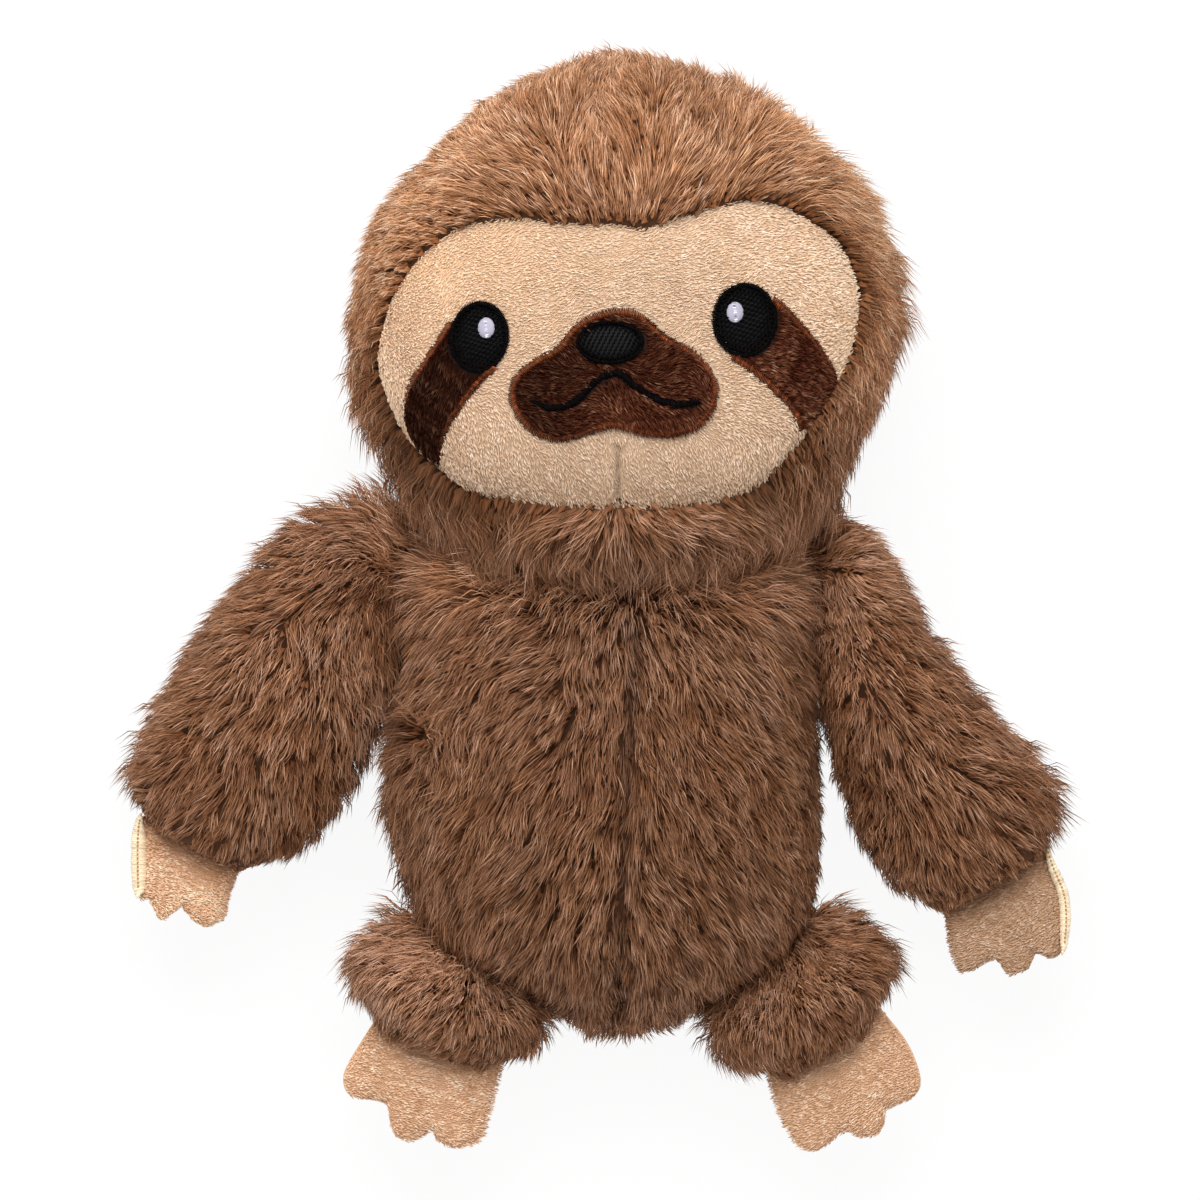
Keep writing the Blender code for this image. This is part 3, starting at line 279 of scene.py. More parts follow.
# Waves of smooth noise over the pile: share and size, and a seed where all pieces have the same wave
TURN_WAVES = ((0.26, 0.020), (0.14, 0.008))
LENGTH_WAVE = (0.12, 0.012)
STAND_WAVE = (0.6, 0.009)
DRIFT_WAVE = (0.13, 0.035, 91)
OPEN_WAVES = ((0.6, 0.013, 92), (0.5, 0.006, 93))
CROWN_WAVES = ((0.045, 95), (0.018, 96))
FACE_WAVE = (0.25, 0.05, 97)
MUZZLE_WAVE = (0.9, 0.022, 98)
NAP_WARP = (0.0010, 0.007)
NAP_TURN = (0.4, 0.010)
NAP_STAND = (0.08, 0.006)
NAP_SHADE = (0.05, 0.007)
STREAK_SIZES = (0.0011, 0.0009)
LUMPS = (0.0002, 0.006, 5)
# Depths and gaps of the pile
CORE_LEAN = 0.0015
FLOOR_GAP = 0.0003
FLOOR_SPREAD = 0.0004
NAP_ROOT = 0.0002
NECK_GAPS = {"torso": 0.0005, "head": 0.001}
COLLAR_EDGES = (0.003, 0.001)
# Heights over the floor between which the pile changes
UNDERSIDE_HEIGHTS = (0.012, 0.040)
FOLD_HEIGHTS = (0.020, 0.040)
SWIRL_HEIGHTS = (0.03, 0.05)
HEAD_SIDE_HEIGHTS = (0.015, 0.060)
CHIN_HEIGHTS = (0.05, 0.07)
NECK_HEIGHTS = (0.035, 0.045)
VALLEY_HEIGHT = 0.03
BELLY_HEIGHT = 0.05
BACK_PANEL_HEIGHT = 0.040
HOOD_SEAM_HEIGHT = 0.050
# Places on the torso where its pile changes, as low and high end, as top and run down, or as middle and half
SHOULDER_ENDS = (0.045, 0.062)
SHOULDER_SIDES = (0.028, 0.040)
NECK_ENDS = (0.034, 0.054)
ARM_SLIT_SIDES = (0.046, 0.056)
ARM_SLIT_TOP = (0.03, 0.02)
TAIL_TOP = (0.03, 0.025)
TAIL_BEND = 0.04
VALLEY = (0.053, 0.007)
VALLEY_SIDE = (0.065, 0.02)
BARE_VALLEY = (0.054, 0.009)
BELLY_SEAM_TOP = (0.050, 0.010)
BELLY_SEAM_OFFSET = 0.0069
BELLY_SEAM_SLANT = 0.044
BELLY_SEAM_HALF = 0.0022
BELLY_FAN = 0.62
BELLY_FAN_HALF = 0.02
# The same on the head, from the middle of the face, and on the limbs from their seams
FACE_DIP = 0.0038
RIM_RUN = 0.03
RIM_REACH = (1.04, 0.07)
EDGE_REACH = (1.17, 0.11)
CROWN_RUN = (0.03, 0.06)
CREST_DEPTHS = (0.035, 0.005)
CHEEK_RISE = 0.01
TRIM_RUN = (0.01, 0.02)
CHIN_TRIM = (0.022, 0.012)
CHIN_RUN = 0.02
CHIN_HALF = 0.02
LIMB_ROOT = (0.020, 0.040)
ARM_ROOT_BEND = (0.015, 0.035)
ARM_ROOT_TRIM = (0.020, 0.045)
ARM_LOW_TRIM = (0.030, 0.060)
LIMB_CAPS = {"arm": 0.0015, "leg": 0.004}
CAP_END = 0.001
CUFF_RUNS = {"arm": 0.018, "leg": 0.014}
# The face's cloth: thicknesses, its chin dart, and where its nap turns down
FACE_THICKNESS = 0.0016
PATCH_THICKNESS = 0.0008
PATCH_RISE = 0.0009
PATCH_WAYS = {"right": (-0.35, -1, 0), "left": (1, -0.25, 0)}
DART_DEPTH = 0.0016
DART_LENGTH = 0.0195
DART_RUN = 0.002
# Half widths of the dart's crease, of the painted shade along it, and of the gap in its nap
DART_HALVES = {"crease": 0.0014, "tone": 0.0009, "bare": 0.0005}
FACE_TURN = (0.002, 0.03)
BROWN_PLACES = (-0.045, -0.020, 0.003, 0.045)
BROWN_SHARES = (0.47, 0.60, 0.84, 1.40)
BROWN_LOW = (0.008, 0.01)
BROWN_LOW_HALF = 0.014
# Stitching: rise of each ground, turn, length and rise of the stitches on it, width and rise of its rim
GROUND_RISES = {"nose": 0.0019, "eye": 0.0012, "glint": 0.0028}
FILL_STITCHES = {
    "nose": (math.pi / 2, 0.0030, 0.0024), "eye": (0.12, 0.0034, 0.0017), "glint": (0.15, 0.5, 0.0026),
}
RIM_STITCHES = {"nose": (0.0018, 0.0026), "eye": (0.0020, 0.0020)}
EYE_RIM_INSET = 0.0006
BORDER_RISE = 0.0017
MOUTH_RISE = 0.0023
MOUTH_GAP = 0.0013
STITCH_GAP = 0.0004
STITCH_SPREAD = 0.00004
STITCH_SHADOW = (0.020, 0.006)
GROUND_DOME = 0.0009
GROUND_THICKNESS = 0.0010
# Paws: inset of the seam, gap between the layers, run of the shade by the cuff, rise of overlock and chain
PAW_INSET = 0.0008
PAW_GAP = 0.0002
PAW_SHADE_RUN = (0.001, 0.012)
OVERLOCK_RISE = 0.0016
CHAIN_RISE = 0.0004
CHAIN_ARCH = 0.0002
CHAIN_HALF = 0.00028
STUFFING_DEPTH = 0.006
# Stage: the lamp's edge, place and aim, the camera, and the floor's half edge and level
LAMP_SIZE = 0.9
LAMP_PLACE = (-0.08, 0.80, 1.1)
LAMP_AIM = (0, 0.03, 0.03)
CAMERA_PLACE = (-0.0015, 0.048, 10.045)
CAMERA_LENS = 1000
SENSOR_WIDTH = 36
FLOOR_HALF = 3.0
FLOOR_LEVEL = -0.0002
# Materials of pile and thread: name, roughness and gloss
PILES = {
    "fur": ("long_pile", 0.7, 0.25),
    "nap": ("short_pile", 0.8, 0.2),
    "dark_nap": ("brown_short_pile", 0.85, 0.03),
    "thread": ("embroidery_thread", 0.6, 0.08),
    "black_thread": ("black_thread", 0.8, 0.05),
}
# Cloths: name, group and colour, pale and dark share of that colour, grain, roughness and sheen
CLOTHS = {
    "glint": ("glint_ground", "plush_face", "glint", 0.85, 0.6, 900, 0.6, 0.3),
    "backing": ("backing_cloth", "plush_fur", "backing", 1.0, 0.5, 900, 0.9, 0.0),
    # The face's cloths under its nap are darker than the nap, the brown much darker: painted shade between
    # the strands
    "beige": ("beige_cloth", "plush_face", "beige", 0.88, 0.6, 900, 0.85, 0.3),
    "paw": ("paw_cloth", "plush_paws", "beige", 1.0, 0.7, 900, 0.85, 0.3),
    "brown": ("brown_cloth", "plush_face", "brown", 0.40, 0.25, 900, 0.85, 0.3),
    "black": ("black_ground", "plush_face", "black", 1.0, 0.6, 900, 0.6, 0.3),
    "stuffing": ("stuffing_fibre", "plush_paws", "stuffing", 1.0, 0.85, 400, 0.95, 0.3),
}


def sizes_and_colours(**fields):
    """Annotations for a PropertyGroup from name: (kind, label, description, default)."""
    made = {}
    for name, (kind, label, description, default) in fields.items():
        if kind == "colour":
            made[name] = bpy.props.FloatVectorProperty(
                name=label, description=description, default=default, subtype="COLOR", size=3, min=0, max=1)
        elif kind == "length":
            made[name] = bpy.props.FloatProperty(
                name=label, description=description, default=default, unit="LENGTH", min=0, precision=5)
        elif kind == "count":
            made[name] = bpy.props.IntProperty(name=label, description=description, default=default, min=1)
        else:
            made[name] = bpy.props.FloatProperty(
                name=label, description=description, default=default, subtype="FACTOR", min=0)
    return made


class FurLooks(bpy.types.PropertyGroup):
    """The long pile: its length, its clumps and its colours."""

    __annotations__ = sizes_and_colours(
        pile=("length", "Pile", "Length of the fur", 0.0108),
        sunk=("length", "Backing depth", "How far the backing lies under the pile's middle", 0.003),
        width=("length", "Strand", "Half width of a strand at its bend", 0.000145),
        core=("length", "Core", "Half width of the underfur in a clump", 0.0010),
        clump=("length", "Clump", "Half width of a clump at its root", 0.0015),
        lift=("factor", "Lift", "How steeply the pile stands, 1 for upright", 0.66),
        pinch=("factor", "Pinch", "How far a clump's strands close up at their tips", 0.30),
        gather=("factor", "Gather", "How far the tips of a tuft's clumps draw together", 0.13),
        strands=("count", "Strands in a clump", "Strands that lie together", 10),
        clumps=("count", "Clumps in a tuft", "Clumps that lean together", 8),
        brown=("colour", "Brown", "Colour of the pile", (0.286, 0.125, 0.056)),
        crown=("colour", "Crown", "Colour of the pile on top of the head", (0.392, 0.184, 0.085)),
        # The roots get painted shade, where the pile above shades them, and the tips get painted light
        root=("factor", "Root shade", "Brightness of the roots against the pile", 0.30),
        tip=("factor", "Tip shade", "Brightness of the tips against the pile", 1.60),
        backing=("colour", "Backing", "Colour of the cloth under the fur", (0.110, 0.045, 0.020)),
    )


class FaceLooks(bpy.types.PropertyGroup):
    """The short-pile face and its embroidery."""

    __annotations__ = sizes_and_colours(
        nap=("length", "Nap", "Length of the short pile", 0.0018),
        nap_width=("length", "Nap strand", "Half width of a strand of short pile", 0.00019),
        sunk=("length", "Depth", "How far the face lies under the fur's middle", 0.0042),
        puff=("length", "Puff", "How far the face's edge is drawn in at its seam", 0.0028),
        satin=("length", "Satin width", "Width of a satin border", 0.0029),
        mouth=("length", "Mouth width", "Width of the mouth line", 0.0031),
        thread=("length", "Thread", "Half width of a stitching thread", 0.00022),
        pitch=("length", "Pitch", "Distance from one thread to the next", 0.00050),
        beige=("colour", "Beige", "Colour of the face", (0.775, 0.545, 0.370)),
        brown=("colour", "Brown", "Colour of muzzle and eye patches", (0.050, 0.0130, 0.0058)),
        rust=("colour", "Rust", "Colour of the satin borders", (0.118, 0.027, 0.0075)),
        black=("colour", "Black", "Colour of eyes, nose and mouth", (0.0022, 0.0018, 0.0020)),
        glint=("colour", "Glint", "Colour of the light in the eyes", (0.52, 0.49, 0.60)),
    )


class PawLooks(bpy.types.PropertyGroup):
    """The short-pile hands and feet."""

    __annotations__ = sizes_and_colours(
        nap=("length", "Nap", "Length of the short pile", 0.0016),
        nap_width=("length", "Nap strand", "Half width of a strand of short pile", 0.00017),
        beige=("colour", "Beige", "Colour of the paws", (0.84, 0.52, 0.32)),
        seam=("colour", "Seam thread", "Colour of the overlock loops", (0.92, 0.76, 0.54)),
        chain=("colour", "Chain thread", "Colour of the chain stitch in the overlock", (0.50, 0.26, 0.10)),
        loop=("length", "Loop pitch", "Distance from one overlock loop to the next", 0.00060),
        stuffing=("colour", "Stuffing", "Colour of the polyester stuffing", (0.85, 0.82, 0.77)),
    )


class StageLooks(bpy.types.PropertyGroup):
    """Floor, lamp and camera."""

    __annotations__ = sizes_and_colours(
        floor=("colour", "Floor", "Colour of the floor", (1.0, 1.0, 1.0)),
        key=("factor", "Key lamp", "Power of the large lamp beyond the crown", 17.0),
        fill=("factor", "Fill", "Strength of the light from all round", 0.75),
        shadow=("factor", "Shadow", "Share of the floor's own shading that shows", 0.08),
    )


def unit(vectors):
    """Vectors scaled to length 1."""
    return vectors / np.maximum(np.linalg.norm(vectors, axis=-1, keepdims=True), 1e-9)


def smooth(values, low, high):
    """0 below low, 1 above high and an S curve between."""
    share = np.clip((values - low) / (high - low), 0, 1)
    return share * share * (3 - 2 * share)


def ripple(places, size, seed):
    """Smooth noise of about -1 to 1: the sum of sines along random directions, size apart."""
    rng = np.random.default_rng(seed)
    waves = rng.normal(0, 1, (8, 3)) * (2 * math.pi / size / math.sqrt(3))
    phases = rng.uniform(0, 2 * math.pi, 8)
    return np.sin(places @ waves.T + phases).sum(1) / 4


def wave(places, share, size, seed):
    """A ripple of a size, times its share."""
    return share * ripple(places, size, seed)


def below(values, top, run):
    """0 above top and 1 from a run below it, with an S curve between."""
    return smooth(top - values, 0, run)


def bell(values, middle, half):
    """1 at the middle, falling to 1 / e at a half width from it: exp(-((v - middle) / half)^2)."""
    return np.exp(-((values - middle) / half) ** 2)


def cubic(run, span, t):
    """The Catmull-Rom cubic at shares t of spans: through their ends, with slopes from the neighbours."""
    a, b, c, d = (run[span + k] for k in range(4))
    square = (a * 2 - b * 5 + c * 4 - d) * t ** 2
    return (b * 2 + (c - a) * t + square + (b * 3 - a - c * 3 + d) * t ** 3) / 2


def spline(points, steps, closed=False):
    """Points along a Catmull-Rom curve through the given ones."""
    points = np.asarray(points, float)
    if closed:
        run = np.concatenate((points[-1:], points, points[:2]))
    else:
        run = np.concatenate((points[:1] * 2 - points[1:2], points, points[-1:] * 2 - points[-2:-1]))
    spans = len(run) - 3
    place = np.linspace(0, spans, steps, endpoint=not closed)
    span = np.minimum(place.astype(int), spans - 1)
    t = (place - span).reshape(-1, *[1] * (points.ndim - 1))
    return cubic(run, span, t)


def body_stations(shares, low, high, depth, pole_shares):
    """Centre, across and up of each ring across Y, with rings of no size at both ends."""
    middle, half, length = (low[0] + high[0]) / 2, (high[0] - low[0]) / 2, high[1] - low[1]
    rings = [((middle, low[1], depth * pole_shares[0] - FLOOR_CUT), (0, 0, 0), (0, 0, 0))]
    for along, wide, under, over, drift in shares:
        centre = (middle + half * drift, low[1] + length * along, depth * (under + over) / 2 - FLOOR_CUT)
        rings.append((centre, (half * wide, 0, 0), (0, 0, depth * (over - under) / 2)))
    rings.append(((middle, high[1], depth * pole_shares[1] - FLOOR_CUT), (0, 0, 0), (0, 0, 0)))
    return np.array(rings)


def loft(rings, along, around, squareness):
    """A closed skin: rings follow a smooth curve through the given ones from pole to pole.

    At a turn t a point lies at centre + across * cos(t) + up * sin(t), each raised to 2 / squareness
    with its sign. Past a pole the rings are mirrored, so that the skin closes round.
    """
    mirrored = rings * np.array((1, -1, -1))[:, None]
    run = np.concatenate((mirrored[1:2], rings, mirrored[-2:-1]))
    steps = (len(rings) - 1) * along
    place = np.linspace(0, len(rings) - 1, steps + 1)
    span = np.minimum(place.astype(int), len(rings) - 2)
    t = (place - span)[:, None, None]
    path = cubic(run, span, t)
    turn = np.arange(around) * (2 * math.pi / around)
    wide = np.copysign(np.abs(np.cos(turn)) ** (2 / squareness), np.cos(turn))[:, None]
    high = np.copysign(np.abs(np.sin(turn)) ** (2 / squareness), np.sin(turn))[:, None]
    grid = path[:, None, 0] + path[:, None, 1] * wide + path[:, None, 2] * high
    points = np.concatenate((grid[:1, 0], grid[1:-1].reshape(-1, 3), grid[-1:, 0]))
    index = np.zeros((steps + 1, around), int)
    index[1:-1] = 1 + np.arange((steps - 1) * around).reshape(steps - 1, around)
    index[-1] = len(points) - 1
    return outwards(points, quads(index, np.roll(index, -1, 1)))


def quads(index, beside):
    """Triangles between the columns of a grid of vertex numbers and the ones beside them."""
    a, b, c, d = index[:-1], index[1:], beside[1:], beside[:-1]
    faces = np.stack((a, b, c, a, c, d), -1).reshape(-1, 3)
    same = (faces[:, 0] == faces[:, 1]) | (faces[:, 1] == faces[:, 2]) | (faces[:, 0] == faces[:, 2])
    return faces[~same]


def outwards(points, faces):
    """The same skin with its faces pointing out: turned round if its volume is negative."""
    a, b, c = (points[faces[:, k]] - points.mean(0) for k in range(3))
    if (np.cross(a, b) * c).sum() < 0:
        faces = faces[:, ::-1]
    return points, faces


def point_normals(points, faces):
    """At each point the area-weighted mean of its faces' normals."""
    corners = points[faces]
    across = np.cross(corners[:, 1] - corners[:, 0], corners[:, 2] - corners[:, 0])
    sums = np.zeros_like(points)
    for corner in range(3):
        np.add.at(sums, faces[:, corner], across)
    return unit(sums)


def slab(points, faces, depth):
    """A closed sheet: the faces, the same turned round at a depth below, and walls on the free edges."""
    count = len(points)
    edges = faces[:, [0, 1, 1, 2, 2, 0]].reshape(-1, 2)
    keys = np.sort(edges, 1) @ np.array((count, 1))
    _, first, seen = np.unique(keys, return_index=True, return_counts=True)
    a, b = edges[first[seen == 1]].T
    walls = np.concatenate((np.stack((b, a, a + count), 1), np.stack((b, a + count, b + count), 1)))
    return np.concatenate((points, points - depth)), np.concatenate((faces, faces[:, ::-1] + count, walls))


def scatter(points, faces, normals, count, density, rng):
    """Places on a skin, spread evenly by a weight of area times density, with their normals."""
    corners = points[faces]
    area = np.linalg.norm(np.cross(corners[:, 1] - corners[:, 0], corners[:, 2] - corners[:, 0]), axis=1)
    weight = area * density(corners.mean(1))
    share = np.cumsum(weight) / weight.sum()
    pick = np.searchsorted(share, (np.arange(count) + rng.uniform(0, 1, count)) / count)
    pick = np.minimum(pick, len(faces) - 1)
    shares = rng.dirichlet((1, 1, 1), count)[:, :, None]
    return (corners[pick] * shares).sum(1), unit((normals[faces[pick]] * shares).sum(1))


def rods(paths, widths, turn, sides=3):
    """Closed rods along paths: a point at both ends and a ring of corners at each place between.

    A corner lies at path + width * (side * cos(t) + other * sin(t)), where side and other are at
    right angles to the whole rod. paths is rods x places x 3 and widths is rods x (places - 2).
    """
    count, places = paths.shape[:2]
    axis = unit(paths[:, -1] - paths[:, 0])
    side = unit(np.cross(axis, turn))
    other = np.cross(axis, side)
    angle = (np.arange(sides) * (2 * math.pi / sides))[None, None, :, None]
    spread = side[:, None, None] * np.cos(angle) + other[:, None, None] * np.sin(angle)
    rings = paths[:, 1:-1, None] + widths[:, :, None, None] * spread
    points = np.concatenate((paths[:, :1], rings.reshape(count, -1, 3), paths[:, -1:]), 1)
    step = np.arange(sides)
    after = (step + 1) % sides
    start, last = np.zeros(sides, int), np.full(sides, points.shape[1] - 1)
    low, top = 1, 1 + (places - 3) * sides
    faces = [np.stack((after + low, step + low, start), 1), np.stack((step + top, after + top, last), 1)]
    for ring in range(places - 3):
        near, far = 1 + ring * sides, 1 + (ring + 1) * sides
        faces.append(np.stack((step + near, after + near, after + far), 1))
        faces.append(np.stack((step + near, after + far, step + far), 1))
    pattern = np.concatenate(faces)
    jump = (np.arange(count) * points.shape[1])[:, None, None]
    return points, pattern, (pattern[None] + jump).reshape(-1, 3)


def rod_map(count, places, pattern, sides=3):
    """Image places for rods: each rod has a small square of the map, root below and tip above."""
    across = math.ceil(math.sqrt(count))
    column, row = np.arange(count) % across, np.arange(count) // across
    level = np.concatenate(((0.0,), np.repeat(np.arange(1, places - 1) / (places - 1), sides), (1.0,)))
    beside = np.concatenate(((0.5,), np.tile(np.arange(sides) / (sides - 1), places - 2), (0.5,)))
    spot = np.stack((0.1 + 0.8 * beside, 0.1 + 0.8 * level), 1)
    corner = np.stack((column, row), 1)[:, None]
    return ((corner + spot[None]) / across)[:, pattern.ravel()].reshape(-1, 2)


def new_piece(name, points, faces, material, colours=None, places=None, normals=None):
    """A named smooth mesh piece; each point may bring a colour and a normal, each corner a map place."""
    mesh = bpy.data.meshes.new(name)
    mesh.vertices.add(len(points))
    mesh.vertices.foreach_set("co", np.ascontiguousarray(points, np.float32).ravel())
    mesh.loops.add(faces.size)
    mesh.loops.foreach_set("vertex_index", np.ascontiguousarray(faces, np.int32).ravel())
    mesh.polygons.add(len(faces))
    mesh.polygons.foreach_set("loop_start", np.arange(0, faces.size, 3, dtype=np.int32))
    mesh.update(calc_edges=True)
    if colours is not None:
        shade = mesh.attributes.new("pile", "FLOAT_COLOR", "POINT")
        filled = np.concatenate((colours, np.ones((len(colours), 1))), 1)
        shade.data.foreach_set("color", filled.astype(np.float32).ravel())
    if places is not None:
        layer = mesh.uv_layers.new(name="OFBake")
        layer.uv.foreach_set("vector", places.astype(np.float32).ravel())
    mesh.shade_smooth()
    if normals is not None:
        lean = mesh.attributes.new("custom_normal", "FLOAT_VECTOR", "POINT")
        lean.data.foreach_set("vector", normals.astype(np.float32).ravel())
    mesh.materials.append(material)
    piece = bpy.data.objects.new(name, mesh)
    bpy.context.scene.collection.objects.link(piece)
    return piece


def dress(piece, body, slot, *nodes):
    """Hang a piece on its body and hide the nodes that it stands for; its slot is not used."""
    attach(piece, body)
    if nodes:
        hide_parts(*nodes)
    return piece


class Shade:
    """An output socket; arithmetic on it adds Math nodes to its graph."""

    def __init__(self, graph, socket):
        self.graph = graph
        self.socket = socket

    def math(self, operation, first, second):
        return self.graph.add("ShaderNodeMath", {"operation": operation}, {0: first, 1: second})

    def __add__(self, other):
        return self.math("ADD", self, other)

    def __sub__(self, other):
        return self.math("SUBTRACT", self, other)

    def __rsub__(self, other):
        return self.math("SUBTRACT", other, self)

    def __mul__(self, other):
        return self.math("MULTIPLY", self, other)

    __radd__ = __add__
    __rmul__ = __mul__


class Graph:
    """The nodes of one material round its Principled shader."""

    def __init__(self, name, **constants):
        self.material = bpy.data.materials.new(name)
        self.material.use_nodes = True
        self.tree = self.material.node_tree
        self.shader = self.tree.nodes["Principled BSDF"]
        for label, value in constants.items():
            self.shader.inputs[label.replace("_", " ")].default_value = value

    def add(self, kind, settings=None, inputs=None, output=0):
        """A node of a kind with its settings, and values or links for its sockets; gives one output."""
        node = self.tree.nodes.new(kind)
        for key, value in (settings or {}).items():
            setattr(node, key, value)
        for key, value in (inputs or {}).items():
            self.put(node.inputs[key], value)
        return Shade(self, node.outputs[output])

    def put(self, socket, value):
        """Link a Shade to a socket, or set the socket to a plain value."""
        if isinstance(value, Shade):
            self.tree.links.new(value.socket, socket)
        elif socket.type == "RGBA" and len(value) == 3:
            socket.default_value = (*value, 1)
        else:
            socket.default_value = value

    def noise(self, scale, detail=2.0, stretch=(1, 1, 1)):
        """Noise of 0 to 1 over the object, its waves drawn out along an axis by a stretch under 1."""
        place = self.add("ShaderNodeTexCoord", output="Object")
        place = self.add("ShaderNodeMapping", None, {"Vector": place, "Scale": stretch})
        return self.add("ShaderNodeTexNoise", None, {"Vector": place, "Scale": scale, "Detail": detail})

    def mix(self, share, first, second, blend="MIX"):
        """Colours mixed by a share."""
        settings = {"data_type": "RGBA", "blend_type": blend}
        return self.add("ShaderNodeMix", settings, {0: share, 6: first, 7: second}, 2)

    def into(self, label, value):
        """Link a value to a socket of the shader."""
        self.put(self.shader.inputs[label], value)
        return self


def pile_material(name, roughness, gloss):
    """Pile or thread whose colour each strand carries; broad noise makes it duller in places."""
    graph = Graph(name, Specular_IOR_Level=gloss)
    worn = graph.noise(60.0)
    colour = graph.add("ShaderNodeAttribute", {"attribute_name": "pile"})
    graph.into("Base Color", graph.mix(worn * 0.35, colour, (0.82, 0.80, 0.80), "MULTIPLY"))
    graph.into("Roughness", worn * 0.2 + (roughness - 0.1))
    return graph.material


def cloth_material(name, colour, darker, grain, roughness, sheen):
    """Short-pile or knitted cloth: two tones mixed by fine noise, with a bump of the same grain."""
    graph = Graph(name, Sheen_Weight=sheen, Sheen_Roughness=0.4, Specular_IOR_Level=0.2)
    fine = graph.noise(grain, 3.0, (1, 0.45, 1))
    broad = graph.noise(grain / 12)
    graph.into("Base Color", graph.mix(fine * 0.7 + broad * 0.3, darker, colour))
    graph.into("Roughness", fine * 0.15 + (roughness - 0.08))
    graph.into("Normal", graph.add("ShaderNodeBump", None, {
        "Strength": 0.5, "Distance": 0.0004, "Height": fine}))
    return graph.material


def tones(base, places, stand, bare, rng, strands, root, tip, hue=0.05):
    """Root, bend and tip colours of each strand: raised clumps get painted light, and each strand differs.

    Roots get painted shade, deep and warm, where the pile above shades them, less where the pile is bare,
    open down to its roots; tips get painted light.
    """
    clumps = len(places)
    # Painted shade and painted light from the folds, and painted light on raised clumps, over a random drift
    drift = fold_shade(places) * (1 + wave(places, *DRIFT_WAVE) + 0.15 * stand)
    shade = np.repeat(drift * rng.normal(1, 0.08, clumps), strands)
    shade = shade * np.exp(rng.normal(-0.07, 0.38, clumps * strands))
    shade = np.clip(shade, 0.25, 2.3)[:, None] ** np.array((0.88, 1.15, 1.50))
    open_pile = sum(wave(places, *shape) for shape in OPEN_WAVES)
    open_pile = np.repeat(open_pile, strands)[:, None]
    shade = shade * np.exp(open_pile * np.array((-0.02, -0.09, -0.20)))
    warm = np.repeat(rng.normal(0, hue, clumps), strands) + rng.normal(0, hue / 2, clumps * strands)
    tint = np.stack((1 + 0.3 * warm, np.ones_like(warm), 1 - 0.7 * warm), 1)
    body = np.asarray(base) * tint * shade
    # Painted light at the tips, and painted shade at the roots, less of it where the pile is bare
    pale = body * tip * np.array((0.95, 1.05, 1.25))
    bare = np.repeat(bare, strands)[:, None]
    deep = body * (root * np.array((1.25, 0.78, 0.42)) * (1 - bare) + 0.70 * bare)
    return np.clip(np.stack((deep, body, pale), 1), 0, 0.95)


def tufts(places, normals, flow, count, rng):
    """Each clump's tuft, and the way to its middle: the nearest of some clumps, near along the flow."""
    middles = places[rng.permutation(len(places))[:max(count, 1)]]
    along = flow @ middles.T - (places * flow).sum(1)[:, None]
    square = (places ** 2).sum(1)[:, None] - 2 * places @ middles.T + (middles ** 2).sum(1)
    square = square - 0.7 * along ** 2
    nearest = square.argmin(1)
    way = middles[nearest] - places
    return nearest, way - (way * normals).sum(1, keepdims=True) * normals


